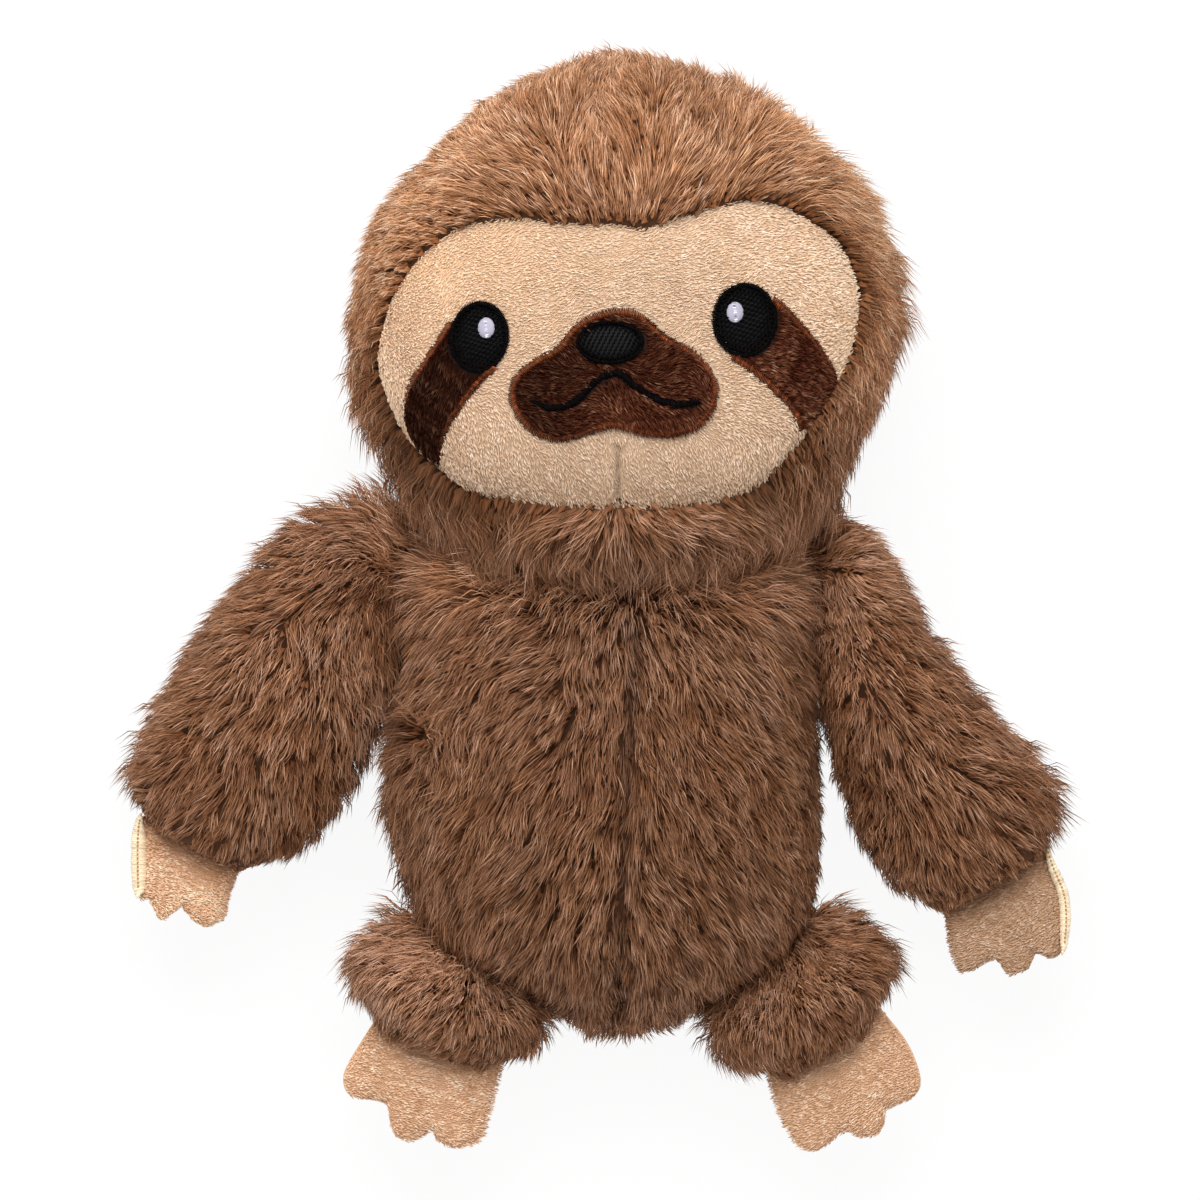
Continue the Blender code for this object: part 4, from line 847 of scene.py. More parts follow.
def grow(places, normals, flow, looks, base, length, lift, hidden, bare, rng, seed):
    """Clumps of strands: each strand rises by lift, then leans over along the flow of the pile.

    At a share t of its length L a strand stands L * lift * t * (2 - t) above the cloth and lies
    L * sqrt(1 - lift^2) * t^1.4 down the flow, while its distance from the clump's own line shrinks
    by the pinch. Flow turns by some degrees from clump to clump and drifts over the body. Where the
    pile is hidden it is sparse, and its strands are wider.
    """
    clumps, strands = len(places), looks.strands
    for x, y, half, strength in SWIRLS:
        gap = places - np.array((x, y, 0))
        near = np.exp(-(gap[:, :2] ** 2).sum(1) / half ** 2) * smooth(places[:, 2], *SWIRL_HEIGHTS)
        gap[:, 2] = 0
        flow = tangent(flow + unit(gap) * (strength * near)[:, None], normals)
    beside = np.cross(normals, flow)
    tuft, pull = tufts(places, normals, flow, clumps // looks.clumps, rng)
    off = np.linalg.norm(pull, axis=1)
    pull = pull * looks.gather
    swing = rng.normal(0, 0.11, clumps) + wave(places, *TURN_WAVES[0], seed)
    swing = swing + wave(places, *TURN_WAVES[1], seed + 2) + rng.normal(0, 0.13, clumps)[tuft]
    lean = flow * np.cos(swing)[:, None] + beside * np.sin(swing)[:, None]
    length = length * np.clip(rng.normal(1, 0.10, clumps) + wave(places, *LENGTH_WAVE, seed + 4), 0.6, 1.3)
    stand = wave(places, *STAND_WAVE, seed + 5) + rng.normal(0, 0.35, clumps)
    stand = stand + rng.normal(0, 0.30, clumps)[tuft]
    stand = stand + 0.3 - 0.3 * off / off.mean()
    lift = np.clip(lift * (1 + 0.22 * stand), 0.15, 0.95)
    radius = looks.clump * np.sqrt(rng.uniform(0, 1, (clumps, strands)))
    radius[:, 0] = 0
    angle = rng.uniform(0, 2 * math.pi, (clumps, strands))
    ways = np.cos(angle)[..., None] * lean[:, None] + np.sin(angle)[..., None] * beside[:, None]
    offset = radius[..., None] * ways
    long = length[:, None] * rng.uniform(0.72, 1.08, (clumps, strands))
    wander = rng.normal(0, 0.10, (clumps, strands, 3))
    path = []
    for t in (0.0, 0.6, 1.0):
        high = (lift * t * (2 - t))[:, None, None] * normals[:, None]
        down = (np.sqrt(1 - lift ** 2) * t ** 1.4)[:, None, None] * lean[:, None]
        stray = wander * t
        spot = places[:, None] + offset * (1 - looks.pinch * t) + long[..., None] * (high + down + stray)
        path.append(spot + (pull * t ** 2)[:, None])
    paths = np.stack(path, 2).reshape(-1, 3, 3)
    facing = unit(normals + 0.35 * lean)
    widths = looks.width * rng.uniform(0.75, 1.3, (clumps, strands)) * (1 + 1.3 * hidden[:, None])
    widths[:, 0] = looks.core * rng.uniform(0.8, 1.2, clumps)
    widths = widths.reshape(-1, 1)
    under = (normals * (0.50 * lift * length)[:, None])[:, None] * np.array((0, 0.5, 1))[:, None]
    paths[::strands] = places[:, None] + under + lean[:, None] * np.array((0, 0, CORE_LEAN))[:, None]
    lowest = widths + FLOOR_GAP + FLOOR_SPREAD * rng.uniform(0, 1, (len(paths), 1))
    paths[:, :, 2] = np.maximum(paths[:, :, 2], lowest)
    colours = tones(base, places, stand, bare, rng, strands, looks.root, looks.tip)
    # Each clump's core has the mean colour of its strands, darkened and warmed as painted shade inside the
    # clump, less where the pile is bare
    colours[::strands] = np.repeat(colours.reshape(clumps, strands, 3, 3)[:, 1:, 1].mean(1)[:, None], 3, 1)
    deep = np.array((0.35, 0.55, 0.75))[:, None] * np.array((1.12, 0.88, 0.62))
    colours[::strands] *= deep ** (1 - 0.6 * bare[:, None, None])
    return paths, widths, colours, np.repeat(facing, strands, 0)


def pile_piece(name, body, slot, node, material, pile, rng, soft=0.6):
    """One piece of pile from strands, each a path, a width, colours at root, bend and tip, and a facing.

    Each point's normal is a mix of the strand's own round and the facing of the pile as a whole,
    because light scatters from strand to strand and the pile shades as one soft surface.
    """
    paths, widths, colours, facing = pile
    points, pattern, faces = rods(paths, widths, rng.normal(0, 1, (len(paths), 3)))
    shades = colours[:, [0, 1, 1, 1, 2]].reshape(-1, 3)
    own = unit(points - paths[:, [0, 1, 1, 1, 2]] + 1e-7)
    normals = unit(own * (1 - soft) + facing[:, None] * soft).reshape(-1, 3)
    piece = new_piece(name, points.reshape(-1, 3), faces, material, shades, rod_map(len(paths), 3, pattern),
                      normals)
    return dress(piece, body, slot, *([node] if node else []))


def part_of(pile, mine):
    """The strands of a pile that a mask keeps."""
    return [values[mine] for values in pile]


def hull(*nodes):
    """Lowest and highest corner of some CAD nodes together."""
    boxes = [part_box(node) for node in nodes]
    low = np.min([np.array(box[0]) for box in boxes], 0)
    high = np.max([np.array(box[1]) for box in boxes], 0)
    return low, high


HEAD_LOW, HEAD_HIGH = hull("hood_left", "hood_right")
TORSO_LOW, TORSO_HIGH = hull("torso_front_left", "torso_front_right", "torso_back")
NECK_FACE = TORSO_HIGH[1]
HEAD_FACE = HEAD_LOW[1] + CHIN_DROP
TORSO_TOP = np.array((TORSO_HIGH[0], TORSO_LOW[1] + (NECK_FACE - TORSO_LOW[1]) / TORSO_NECK_SHARE, 0))
HEAD_RINGS = body_stations(HEAD_STATION_SHARES, HEAD_LOW, HEAD_HIGH, HEAD_DEPTH, HEAD_POLE_SHARES)
TORSO_RINGS = body_stations(TORSO_STATION_SHARES, TORSO_LOW, TORSO_TOP, TORSO_DEPTH, TORSO_POLE_SHARES)
FACE_MIDDLE = np.array((FACE_OFFSET, HEAD_FACE + FACE_FROM_NECK))
FACE_SIZE = np.array((FACE_HALF_WIDTH, FACE_HALF_HEIGHT))
MUZZLE_SIZE = np.array((MUZZLE_HALF_WIDTH, MUZZLE_HALF_HEIGHT))


def drawn_in(rings, inset):
    """Rings drawn in by an inset on every side, but to no less than a third of their size."""
    rings = rings.copy()
    size = np.linalg.norm(rings[:, 1:], axis=2, keepdims=True)
    rings[:, 1:] *= np.maximum(1 - inset / np.maximum(size, 1e-6), 1 / 3)
    rings[0, 0] += unit(rings[1, 0] - rings[0, 0]) * inset * 0.5
    rings[-1, 0] += unit(rings[-2, 0] - rings[-1, 0]) * inset * 0.5
    return rings


def clipped_head(points):
    """The head's skin with the flat where the neck enters it and the flat that it rests on."""
    points = points.copy()
    neck = (points[:, 1] < HEAD_FACE) & (points[:, 2] < CHIN_HEIGHT)
    points[neck, 1] = HEAD_FACE
    points[:, 2] = np.maximum(points[:, 2], REST_HEIGHT)
    return points


def clipped_torso(points):
    """The torso's skin cut flat at the neck and where it rests."""
    points = points.copy()
    points[:, 1] = np.minimum(points[:, 1], NECK_FACE)
    points[:, 2] = np.maximum(points[:, 2], REST_HEIGHT)
    return points


FACE_LINE = spline(FACE_MIDDLE + np.array(FACE_OUTLINE_SHARES) * FACE_SIZE, 180, True)


def reach_of(line, middle, places):
    """How far places lie from the middle, as shares of the way to a line round it."""
    way = line - middle
    turn = np.arctan2(way[:, 1], way[:, 0])
    order = np.argsort(turn)
    gap = places[:, :2] - middle
    edge = np.interp(np.arctan2(gap[:, 1], gap[:, 0]), turn[order], np.linalg.norm(way, axis=1)[order],
                     period=2 * math.pi)
    return np.linalg.norm(gap, axis=1) / edge


def hidden_share(places):
    """1 underneath, where the toy lies on the floor, and 0 above the underside's heights."""
    return 1 - smooth(places[:, 2], *UNDERSIDE_HEIGHTS)


def open_share(places):
    """How densely the pile grows: it is sparse where the toy lies on it."""
    return 1 - 0.85 * hidden_share(places)


def way_round(turn, table):
    """The direction that a table of turns and ways gives, in the plane of the face."""
    turns, ways = np.radians(np.array(table)).T
    x, y = np.interp(turn, turns, np.cos(ways)), np.interp(turn, turns, np.sin(ways))
    return np.stack((x, y, 0 * turn), 1)


def head_flow(places, normals):
    """In front as the tables of ways say, round the face, and down the back of the head."""
    gap = places[:, :2] - FACE_MIDDLE
    turn = np.arctan2(gap[:, 1], gap[:, 0]) % (2 * math.pi)
    near = below(reach_of(FACE_LINE, FACE_MIDDLE, places), *EDGE_REACH)[:, None]
    low = below(places[:, 1], FACE_MIDDLE[1] + CHIN_RUN, CHIN_RUN)[:, None]
    inward = np.concatenate((-unit(gap), np.zeros((len(gap), 1))), 1)
    over = 0.5 - 0.4 * bell(gap[:, :1], 0, CHIN_HALF)
    edge = way_round(turn, EDGE_WAYS) + over * low * inward
    front = way_round(turn, HOOD_WAYS) * (1 - near) + edge * near
    crown = smooth(gap[:, 1], *CROWN_RUN)
    swing = wave(places, 0.15 + 0.40 * crown, *CROWN_WAVES[0]) + wave(places, 0.12 * crown, *CROWN_WAVES[1])
    front = np.stack((front[:, 0] * np.cos(swing) - front[:, 1] * np.sin(swing),
                      front[:, 0] * np.sin(swing) + front[:, 1] * np.cos(swing), 0 * swing - 0.25), 1)
    back = np.array((0, -1, -0.1))
    share = smooth(places[:, 2], *HEAD_SIDE_HEIGHTS)[:, None]
    return tangent(front * share + back * (1 - share), normals)


def head_trim(places, normals):
    """How much longer the head's pile is than elsewhere: left above, right below and at the chin."""
    above = smooth(places[:, 1], FACE_MIDDLE[1] - TRIM_RUN[0], FACE_MIDDLE[1] + TRIM_RUN[1])
    left, right = smooth(normals[:, 0], 0.2, 0.7), smooth(-normals[:, 0], 0.2, 0.7)
    chin = below(places[:, 1], HEAD_FACE + CHIN_TRIM[0], CHIN_TRIM[1]) * smooth(places[:, 2], *CHIN_HEIGHTS)
    return above * (0.35 * left - 0.25 * right) + (1 - above) * (0.3 * right - 0.1 * left) + 0.75 * chin


def fold_shade(places):
    """Share of its colour that the pile keeps: painted shade in the folds between limbs, head and body,
    and painted light where the fur catches the light.
    """
    share = np.ones(len(places))
    for x, y, half, keeps in FOLD_SHADES:
        near = np.exp(-((places[:, 0] - x) ** 2 + (places[:, 1] - y) ** 2) / half ** 2)
        share *= 1 + (keeps - 1) * near * smooth(places[:, 2], *FOLD_HEIGHTS)
    return share


def front_seam(places):
    """How far places lie to the left of the seam down the front, which slants a little."""
    return places[:, 0] - BELLY_SEAM_OFFSET - BELLY_SEAM_SLANT * places[:, 1]


def torso_flow(places, normals):
    """Down the body, fanning out from the seam down its front, and under at the tail."""
    fan = np.tanh(front_seam(places) / BELLY_FAN_HALF) * BELLY_FAN
    down = np.stack((fan, -np.ones(len(places)), np.zeros(len(places))), 1)
    tail = below(places[:, 1], TORSO_LOW[1] + TAIL_BEND, TAIL_BEND)[:, None]
    return tangent(down - tail * UP * 0.6, normals)


def tangent(ways, normals):
    """Directions laid along the skin."""
    return unit(ways - (ways * normals).sum(1, keepdims=True) * normals)


def limb_rings(joint, length, thickness, seam_half, lean, side, shares, cap):
    """Rings of a limb from its seam to its cuff and a cap past it, and the cuff's centre and two ways.

    The first way runs along the cuff, and the second one out of it, onward to the paw.
    """
    seat = np.array(joint["pos_m"])
    down = np.array((math.sin(lean), -math.cos(lean), 0))
    out = np.array((down[1], -down[0], 0)) * -SIDES[side]
    chord = np.array(joint["axis"]) * SIDES[side]
    rings = [(seat, np.zeros(3), np.zeros(3)), (seat, chord * -seam_half, UP * ROOT_HALF_THICKNESS)]
    for outer_share, inner_share, thick in shares:
        outer = seat + out * (length * outer_share[0]) + down * (length * outer_share[1])
        inner = seat + out * (length * inner_share[0]) + down * (length * inner_share[1])
        rings.append(((outer + inner) / 2, (outer - inner) / 2, UP * (thickness / 2 * thick)))
    cuff = rings[-1][0]
    along = -unit(rings[-1][1])
    onward = np.array((-along[1], along[0], 0))
    onward = onward * np.sign(onward @ (cuff - rings[-2][0]))
    rings.append((cuff + onward * cap, rings[-1][1] * 0.8, rings[-1][2] * 0.7))
    rings.append((cuff + onward * (cap + CAP_END), np.zeros(3), np.zeros(3)))
    return np.array(rings), cuff, along, onward


def arm_flow(rings, side):
    """Down the arm: the way at a place is read between the ways at its outer, middle and inner edge."""
    axis = unit(rings[-3, 0] - rings[0, 0])
    beside = np.cross(UP, axis) * SIDES[side]
    run = (rings[1:-1, 0] - rings[0, 0]) @ axis
    middles = (rings[1:-1, 0] - rings[0, 0]) @ beside
    halves = np.linalg.norm(rings[1:-1, 1], axis=1)
    ways = np.array(ARM_WAYS[side])

    def flow(places, normals):
        gap = places - rings[0, 0]
        ahead = gap @ axis
        edge = (gap @ beside - np.interp(ahead, run, middles)) / np.interp(ahead, run, halves)
        x, y = (np.interp(edge, (-0.9, 0, 0.9), ways[:, number]) for number in range(2))
        way = np.stack((x, y, edge * 0), 1)
        root = 1 - smooth(np.linalg.norm(gap, axis=1), *ARM_ROOT_BEND)
        way[:, 1] += 1.1 * root * smooth(edge, 0.2, 0.9)
        return tangent(way, normals)
    return flow


def arm_trim(rings, side):
    """How much longer the arm's pile is than elsewhere: on the right shoulder and the left outer edge."""
    outer = SIDES[side] * np.array((0.85, 0.5 * SIDES[side], 0))

    def trim(places, normals):
        root = 1 - smooth(np.linalg.norm(places - rings[0, 0], axis=1), *ARM_ROOT_TRIM)
        edge = normals @ unit(outer)
        low = smooth(rings[0, 0, 1] - places[:, 1], *ARM_LOW_TRIM)
        if side == "right":
            return 0.45 * root * smooth(normals[:, 1], 0.1, 0.6) - 0.25 * low * smooth(-edge, 0.2, 0.7)
        return 0.35 * low * smooth(edge, 0.2, 0.8) - 0.35 * smooth(-edge, 0.2, 0.7) - 0.2 * root
    return trim


def leg_trim(places, normals):
    """How much longer the legs' pile is than elsewhere: at their upper edge, off the torso."""
    return -0.12 + 0.30 * smooth(normals[:, 1], 0.1, 0.8)


def leg_flow(hub):
    """Outwards all round from the hip."""
    def flow(places, normals):
        way = unit((places - hub) * np.array((1, 1, 0.2)))
        out = unit(np.array((hub[0], 0, 0)))
        low = smooth(0.05 + way[:, 1:2] * -1, -0.4, 0.3)
        way = way * 0.75 + unit(out * 0.55 - np.array((0, 1, 0))) * low
        return tangent(unit(way), normals)
    return flow


class PLUSH_OT_torso(bpy.types.Operator):
    """Backing cloth and fur of the torso in its three panels."""

    bl_idname = "plush.torso"
    bl_label = "Torso Fur"

    def execute(self, context):
        looks = context.scene.plush_fur
        rng = np.random.default_rng(SEEDS["torso"])
        base, faces = loft(drawn_in(TORSO_RINGS, looks.sunk), *LOFT_STEPS["torso"], BODY_SQUARENESS)
        normals = point_normals(base, faces)
        base = clipped_torso(base)
        cloth = new_piece("torso_backing", base, faces, MATERIALS["backing"])
        dress(cloth, "torso", "fur", "torso_front_left", "torso_front_right", "torso_back")

        def shoulder(places):
            return smooth(places[:, 1], *SHOULDER_ENDS) * smooth(np.abs(places[:, 0]), *SHOULDER_SIDES)

        def covered(places):
            clear = places[:, 1] < NECK_FACE - NECK_GAPS["torso"]
            return clear * open_share(places) * (1 + 1.5 * shoulder(places))

        clumps = FUR_STRANDS["torso"] // looks.strands
        places, normals = scatter(base, faces, normals, clumps, covered, rng)
        crease = bell(front_seam(places), 0, BELLY_SEAM_HALF) * (places[:, 2] > BELLY_HEIGHT)
        crease = crease * below(places[:, 1], *BELLY_SEAM_TOP)
        top = shoulder(places)
        out = np.stack((np.sign(places[:, 0]), np.full(clumps, 0.8), np.zeros(clumps)), 1)
        flow = torso_flow(places, normals) * (1 - top)[:, None] + tangent(out, normals) * top[:, None]
        slit = smooth(places[:, 0], *ARM_SLIT_SIDES) * below(places[:, 1], *ARM_SLIT_TOP)
        tail = below(places[:, 1], TORSO_LOW[1] + TAIL_TOP[0], TAIL_TOP[1])
        neck = smooth(places[:, 1], *NECK_ENDS) * smooth(places[:, 2], *NECK_HEIGHTS)
        length = 1 - 0.40 * crease + 0.5 * top - 0.4 * slit - 0.3 * tail
        length = looks.pile * (length + 0.75 * neck * (1 - top))
        # Painted shade along the crease of the front seam, painted light in the valley under the chin, and
        # less painted root shade where the valley is bare
        valley = bell(places[:, 1], *VALLEY) * (places[:, 2] > VALLEY_HEIGHT) * (1 - top)
        share = 0.92 - 0.45 * crease + 0.6 * valley * below(np.abs(places[:, 0]), *VALLEY_SIDE)
        bare = bell(places[:, 1], *BARE_VALLEY) * (places[:, 2] > VALLEY_HEIGHT)
        colour = np.repeat(np.asarray(looks.brown) * share[:, None], looks.strands, 0)
        lift = looks.lift * (1 - 0.35 * crease + 0.35 * neck)
        pile = grow(places, normals, unit(flow), looks, colour, length, lift, hidden_share(places), bare,
                    rng, DRIFT_SEEDS["torso"])
        owner = np.where(places[:, 2] < BACK_PANEL_HEIGHT, 2, np.where(front_seam(places) < 0, 1, 0))
        owner = np.repeat(owner, looks.strands)
        for number, panel in enumerate(("torso_front_left", "torso_front_right", "torso_back")):
            pile_piece(panel + "_fur", "torso", "fur", panel, MATERIALS["fur"],
                       part_of(pile, owner == number), rng)
        return {"FINISHED"}


class PLUSH_OT_neck(bpy.types.Operator):
    """Collar of backing cloth and fur round the neck, which closes the crease when the head nods."""

    bl_idname = "plush.neck"
    bl_label = "Neck Fur"

    def execute(self, context):
        looks = context.scene.plush_fur
        rng = np.random.default_rng(SEEDS["neck"])
        centre, across, up = TORSO_RINGS[-2]
        start, end = NECK_FACE - COLLAR_OVERLAPS[0], HEAD_FACE + COLLAR_OVERLAPS[1]
        stations = ((start, 0), (start, 0.85), ((start + end) / 2, 0.97), (end, 0.85), (end, 0))
        rings = [((centre[0], y, centre[2]), across * wide, up * wide) for y, wide in stations]
        base, faces = loft(np.array(rings), *LOFT_STEPS["neck"], BODY_SQUARENESS)
        normals = point_normals(base, faces)
        dress(new_piece("neck_backing", base, faces, MATERIALS["backing"]), "neck", "fur")

        def covered(places):
            return (places[:, 1] > NECK_FACE - COLLAR_EDGES[0]) & (places[:, 1] < end - COLLAR_EDGES[1])

        clumps = FUR_STRANDS["neck"] // looks.strands
        places, normals = scatter(base, faces, normals, clumps, covered, rng)
        flow = tangent(np.broadcast_to((0.0, -1.0, 0.0), places.shape), normals)
        none = np.zeros(len(places))
        length, lift = none + looks.pile * 0.6, 0.4 + none
        pile = grow(places, normals, flow, looks, looks.brown, length, lift, none, none,
                    rng, DRIFT_SEEDS["neck"])
        pile_piece("neck_fur", "neck", "fur", None, MATERIALS["fur"], pile, rng)
        return {"FINISHED"}


class PLUSH_OT_head(bpy.types.Operator):
    """Backing cloth and fur of the hood round the face."""

    bl_idname = "plush.head"
    bl_label = "Head Fur"

    def execute(self, context):
        looks = context.scene.plush_fur
        rng = np.random.default_rng(SEEDS["head"])
        base, faces = loft(drawn_in(HEAD_RINGS, looks.sunk), *LOFT_STEPS["head"], BODY_SQUARENESS)
        normals = point_normals(base, faces)
        base = clipped_head(base)
        reach = reach_of(FACE_LINE, FACE_MIDDLE, base)
        dip = (base[:, 2] > HEAD_DEPTH / 2) * (1 - smooth(reach, 1.0, 1.13))
        base = base - normals * (FACE_DIP * dip)[:, None]
        cloth = new_piece("head_backing", base, faces, MATERIALS["backing"])
        dress(cloth, "head", "fur", "hood_left", "hood_right")

        def covered(places):
            reach = reach_of(FACE_LINE, FACE_MIDDLE, places)
            top = smooth(places[:, 1], FACE_MIDDLE[1], FACE_MIDDLE[1] + RIM_RUN)
            face = (reach < 0.985 + 0.015 * top) & (places[:, 2] > HEAD_DEPTH / 2)
            neck = (places[:, 1] < HEAD_FACE + NECK_GAPS["head"]) & (places[:, 2] < CHIN_HEIGHT)
            edge = 1 + 0.6 * (reach < 1.12) * (places[:, 2] > HEAD_DEPTH / 2)
            return (~face) * (~neck) * edge * open_share(places)

        clumps = FUR_STRANDS["head"] // looks.strands
        places, normals = scatter(base, faces, normals, clumps, covered, rng)
        reach = reach_of(FACE_LINE, FACE_MIDDLE, places)
        front = places[:, 2] > HEAD_DEPTH / 2
        near = np.where(front, smooth(reach, 1.0, 1.2), 1)
        crest = smooth(places[:, 1], HEAD_HIGH[1] - CREST_DEPTHS[0], HEAD_HIGH[1] - CREST_DEPTHS[1])
        length = looks.pile * (0.72 + 0.28 * near) * (1 - 0.28 * crest)
        flow = head_flow(places, normals)
        high = smooth(places[:, 1], FACE_MIDDLE[1] - CROWN_RUN[0], FACE_MIDDLE[1] + CROWN_RUN[1])[:, None]
        side = smooth(places[:, 1], HEAD_FACE + CHEEK_RISE, FACE_MIDDLE[1])
        side = smooth(np.abs(normals[:, 0]), 0.35, 0.85) * side
        base_colour = np.array(looks.brown) * (1 - high) + np.array(looks.crown) * high
        # Painted light on the head's sides and on the pile round the face's edge, whose roots also get less
        # painted shade
        rim = bell(reach, *RIM_REACH) * front * below(places[:, 1], FACE_MIDDLE[1] + RIM_RUN, RIM_RUN)
        base_colour = base_colour * (1 + 0.55 * side + 0.12 * rim)[:, None]
        base_colour = np.repeat(base_colour, looks.strands, 0)
        length = length * (1 + head_trim(places, normals))
        pile = grow(places, normals, flow, looks, base_colour, length, looks.lift * (1.2 - 0.2 * near),
                    hidden_share(places), rim, rng, DRIFT_SEEDS["head"])
        middle = (HEAD_LOW[0] + HEAD_HIGH[0]) / 2
        owner = np.repeat((places[:, 0] > middle) * 2 + (places[:, 2] < HOOD_SEAM_HEIGHT), looks.strands)
        names = ("hood_right_front_fur", "hood_right_back_fur", "hood_left_front_fur", "hood_left_back_fur")
        for number, name in enumerate(names):
            node = "hood_right" if number < 2 else "hood_left"
            pile_piece(name, "head", "fur", node, MATERIALS["fur"], part_of(pile, owner == number), rng)
        return {"FINISHED"}


class PLUSH_OT_limbs(bpy.types.Operator):
    """Backing cloth and fur of both arms and both legs."""

    bl_idname = "plush.limbs"
    bl_label = "Limb Fur"

    def execute(self, context):
        looks = context.scene.plush_fur
        for side in SIDES:
            rings, _, _, onward = arm_rings(side)
            self.limb(looks, side, "arm", rings, onward, arm_flow(rings, side), arm_trim(rings, side))
            rings, cuff, _, onward = leg_rings(side)
            hub = rings[0, 0] - (cuff - rings[0, 0]) * 0.25
            self.limb(looks, side, "leg", rings, onward, leg_flow(hub), leg_trim)
        return {"FINISHED"}

    def limb(self, looks, side, kind, rings, onward, flow, trim):
        """Backing, front fur and back fur of one limb."""
        name = f"{side}_{kind}"
        rng = np.random.default_rng(SEEDS[name])
        base, faces = loft(drawn_in(rings, looks.sunk), *LOFT_STEPS["limb"], LIMB_SQUARENESS)
        normals = point_normals(base, faces)
        cloth = new_piece(f"{name}_backing", base, faces, MATERIALS["backing"])
        dress(cloth, name, "fur", f"{name}_front", f"{name}_back")
        seam = rings[0, 0, 2]

        def covered(places):
            root = 1 - smooth(np.linalg.norm(places - rings[0, 0], axis=1), *LIMB_ROOT)
            return open_share(places) * (1 + 0.8 * root)

        clumps = FUR_STRANDS[kind] // looks.strands
        places, normals = scatter(base, faces, normals, clumps, covered, rng)
        ahead = (rings[-3, 0] - places) @ onward
        cuff = 1 - smooth(ahead, 0, CUFF_RUNS[kind])
        end = smooth(normals @ onward, 0.25, 0.75) * (kind == "arm")
        length = looks.pile * (1 - 0.62 * cuff + trim(places, normals) * (1 - cuff))
        length = length * (1 + 0.4 * cuff * rng.uniform(-1, 1, clumps)) * (1 - 0.8 * end)
        # By the cuff the roots and cores get less painted shade
        pile = grow(places, normals, flow(places, normals), looks, looks.brown, length,
                    looks.lift * (1 - 0.45 * cuff), hidden_share(places), 0.7 * cuff, rng, DRIFT_SEEDS[name])
        upper = np.repeat(places[:, 2] >= seam, looks.strands)
        for layer, mine in (("front", upper), ("back", ~upper)):
            pile_piece(f"{name}_{layer}_fur", name, "fur", f"{name}_{layer}", MATERIALS["fur"],
                       part_of(pile, mine), rng)


def arm_rings(side):
    """Rings of one arm."""
    return limb_rings(JOINTS[f"{side}_shoulder"], ARM_LENGTH, ARM_THICKNESS, ARM_SEAM_HALF, ARM_LEAN[side],
                      side, ARM_STATION_SHARES[side], LIMB_CAPS["arm"])


def leg_rings(side):
    """Rings of one leg."""
    return limb_rings(JOINTS[f"{side}_hip"], LEG_LENGTH, LEG_THICKNESS, LEG_SEAM_HALF, LEG_LEAN[side],
                      side, LEG_STATION_SHARES[side], LIMB_CAPS["leg"])


def face_height(places, inset):
    """Height of the head's front at places: centre + half depth * (1 - |x / half width|^n)^(1/n)."""
    rings = spline(HEAD_RINGS, 240)
    order = np.argsort(rings[:, 0, 1])
    values = [np.interp(places[:, 1], rings[order, 0, 1], column[order]) for column in
              (rings[:, 0, 0], rings[:, 0, 2], rings[:, 1, 0], rings[:, 2, 2])]
    middle, level, wide, deep = values
    across = np.minimum(np.abs(places[:, 0] - middle) / np.maximum(wide - inset, inset), 0.995)
    return level + (deep - inset) * (1 - across ** BODY_SQUARENESS) ** (1 / BODY_SQUARENESS)


def chin_dart(places, half):
    """1 on the seam of the chin dart and 0 beside it."""
    dart = bell(places[:, 0], FACE_MIDDLE[0], half)
    return dart * below(places[:, 1], FACE_MIDDLE[1] - FACE_HALF_HEIGHT + DART_LENGTH, DART_RUN)


def face_surface(places, looks, above=0.0):
    """Places on the face as points: drawn in at the seam, creased at the chin dart, raised by above."""
    reach = reach_of(FACE_LINE, FACE_MIDDLE, places)
    height = face_height(places, looks.sunk)
    height = height - looks.puff * np.clip(reach, 0, 1) ** 7
    height = height - DART_DEPTH * chin_dart(places, DART_HALVES["crease"]) + above
    return np.concatenate((places[:, :2], height[:, None]), 1)


def disc_shares(rings):
    """How far each ring of a disc lies from its middle to its line, closer together near the line."""
    return (np.arange(1, rings + 1) / rings) ** 0.8


def disc(line, middle, rings):
    """A flat disc inside a line: at a share r a point lies r of the way from the middle to the line."""
    spokes = len(line)
    flat = middle + (line - middle)[None] * disc_shares(rings)[:, None, None]
    places = np.concatenate((middle[None], flat.reshape(-1, 2)))
    index = 1 + np.arange(rings * spokes).reshape(rings, spokes)
    index = np.concatenate((np.zeros((1, spokes), int), index))
    faces = quads(index, np.roll(index, -1, 1))
    corners = places[faces]
    turn = np.cross(corners[0, 1] - corners[0, 0], corners[0, 2] - corners[0, 0])
    return places, faces if turn > 0 else faces[:, ::-1]


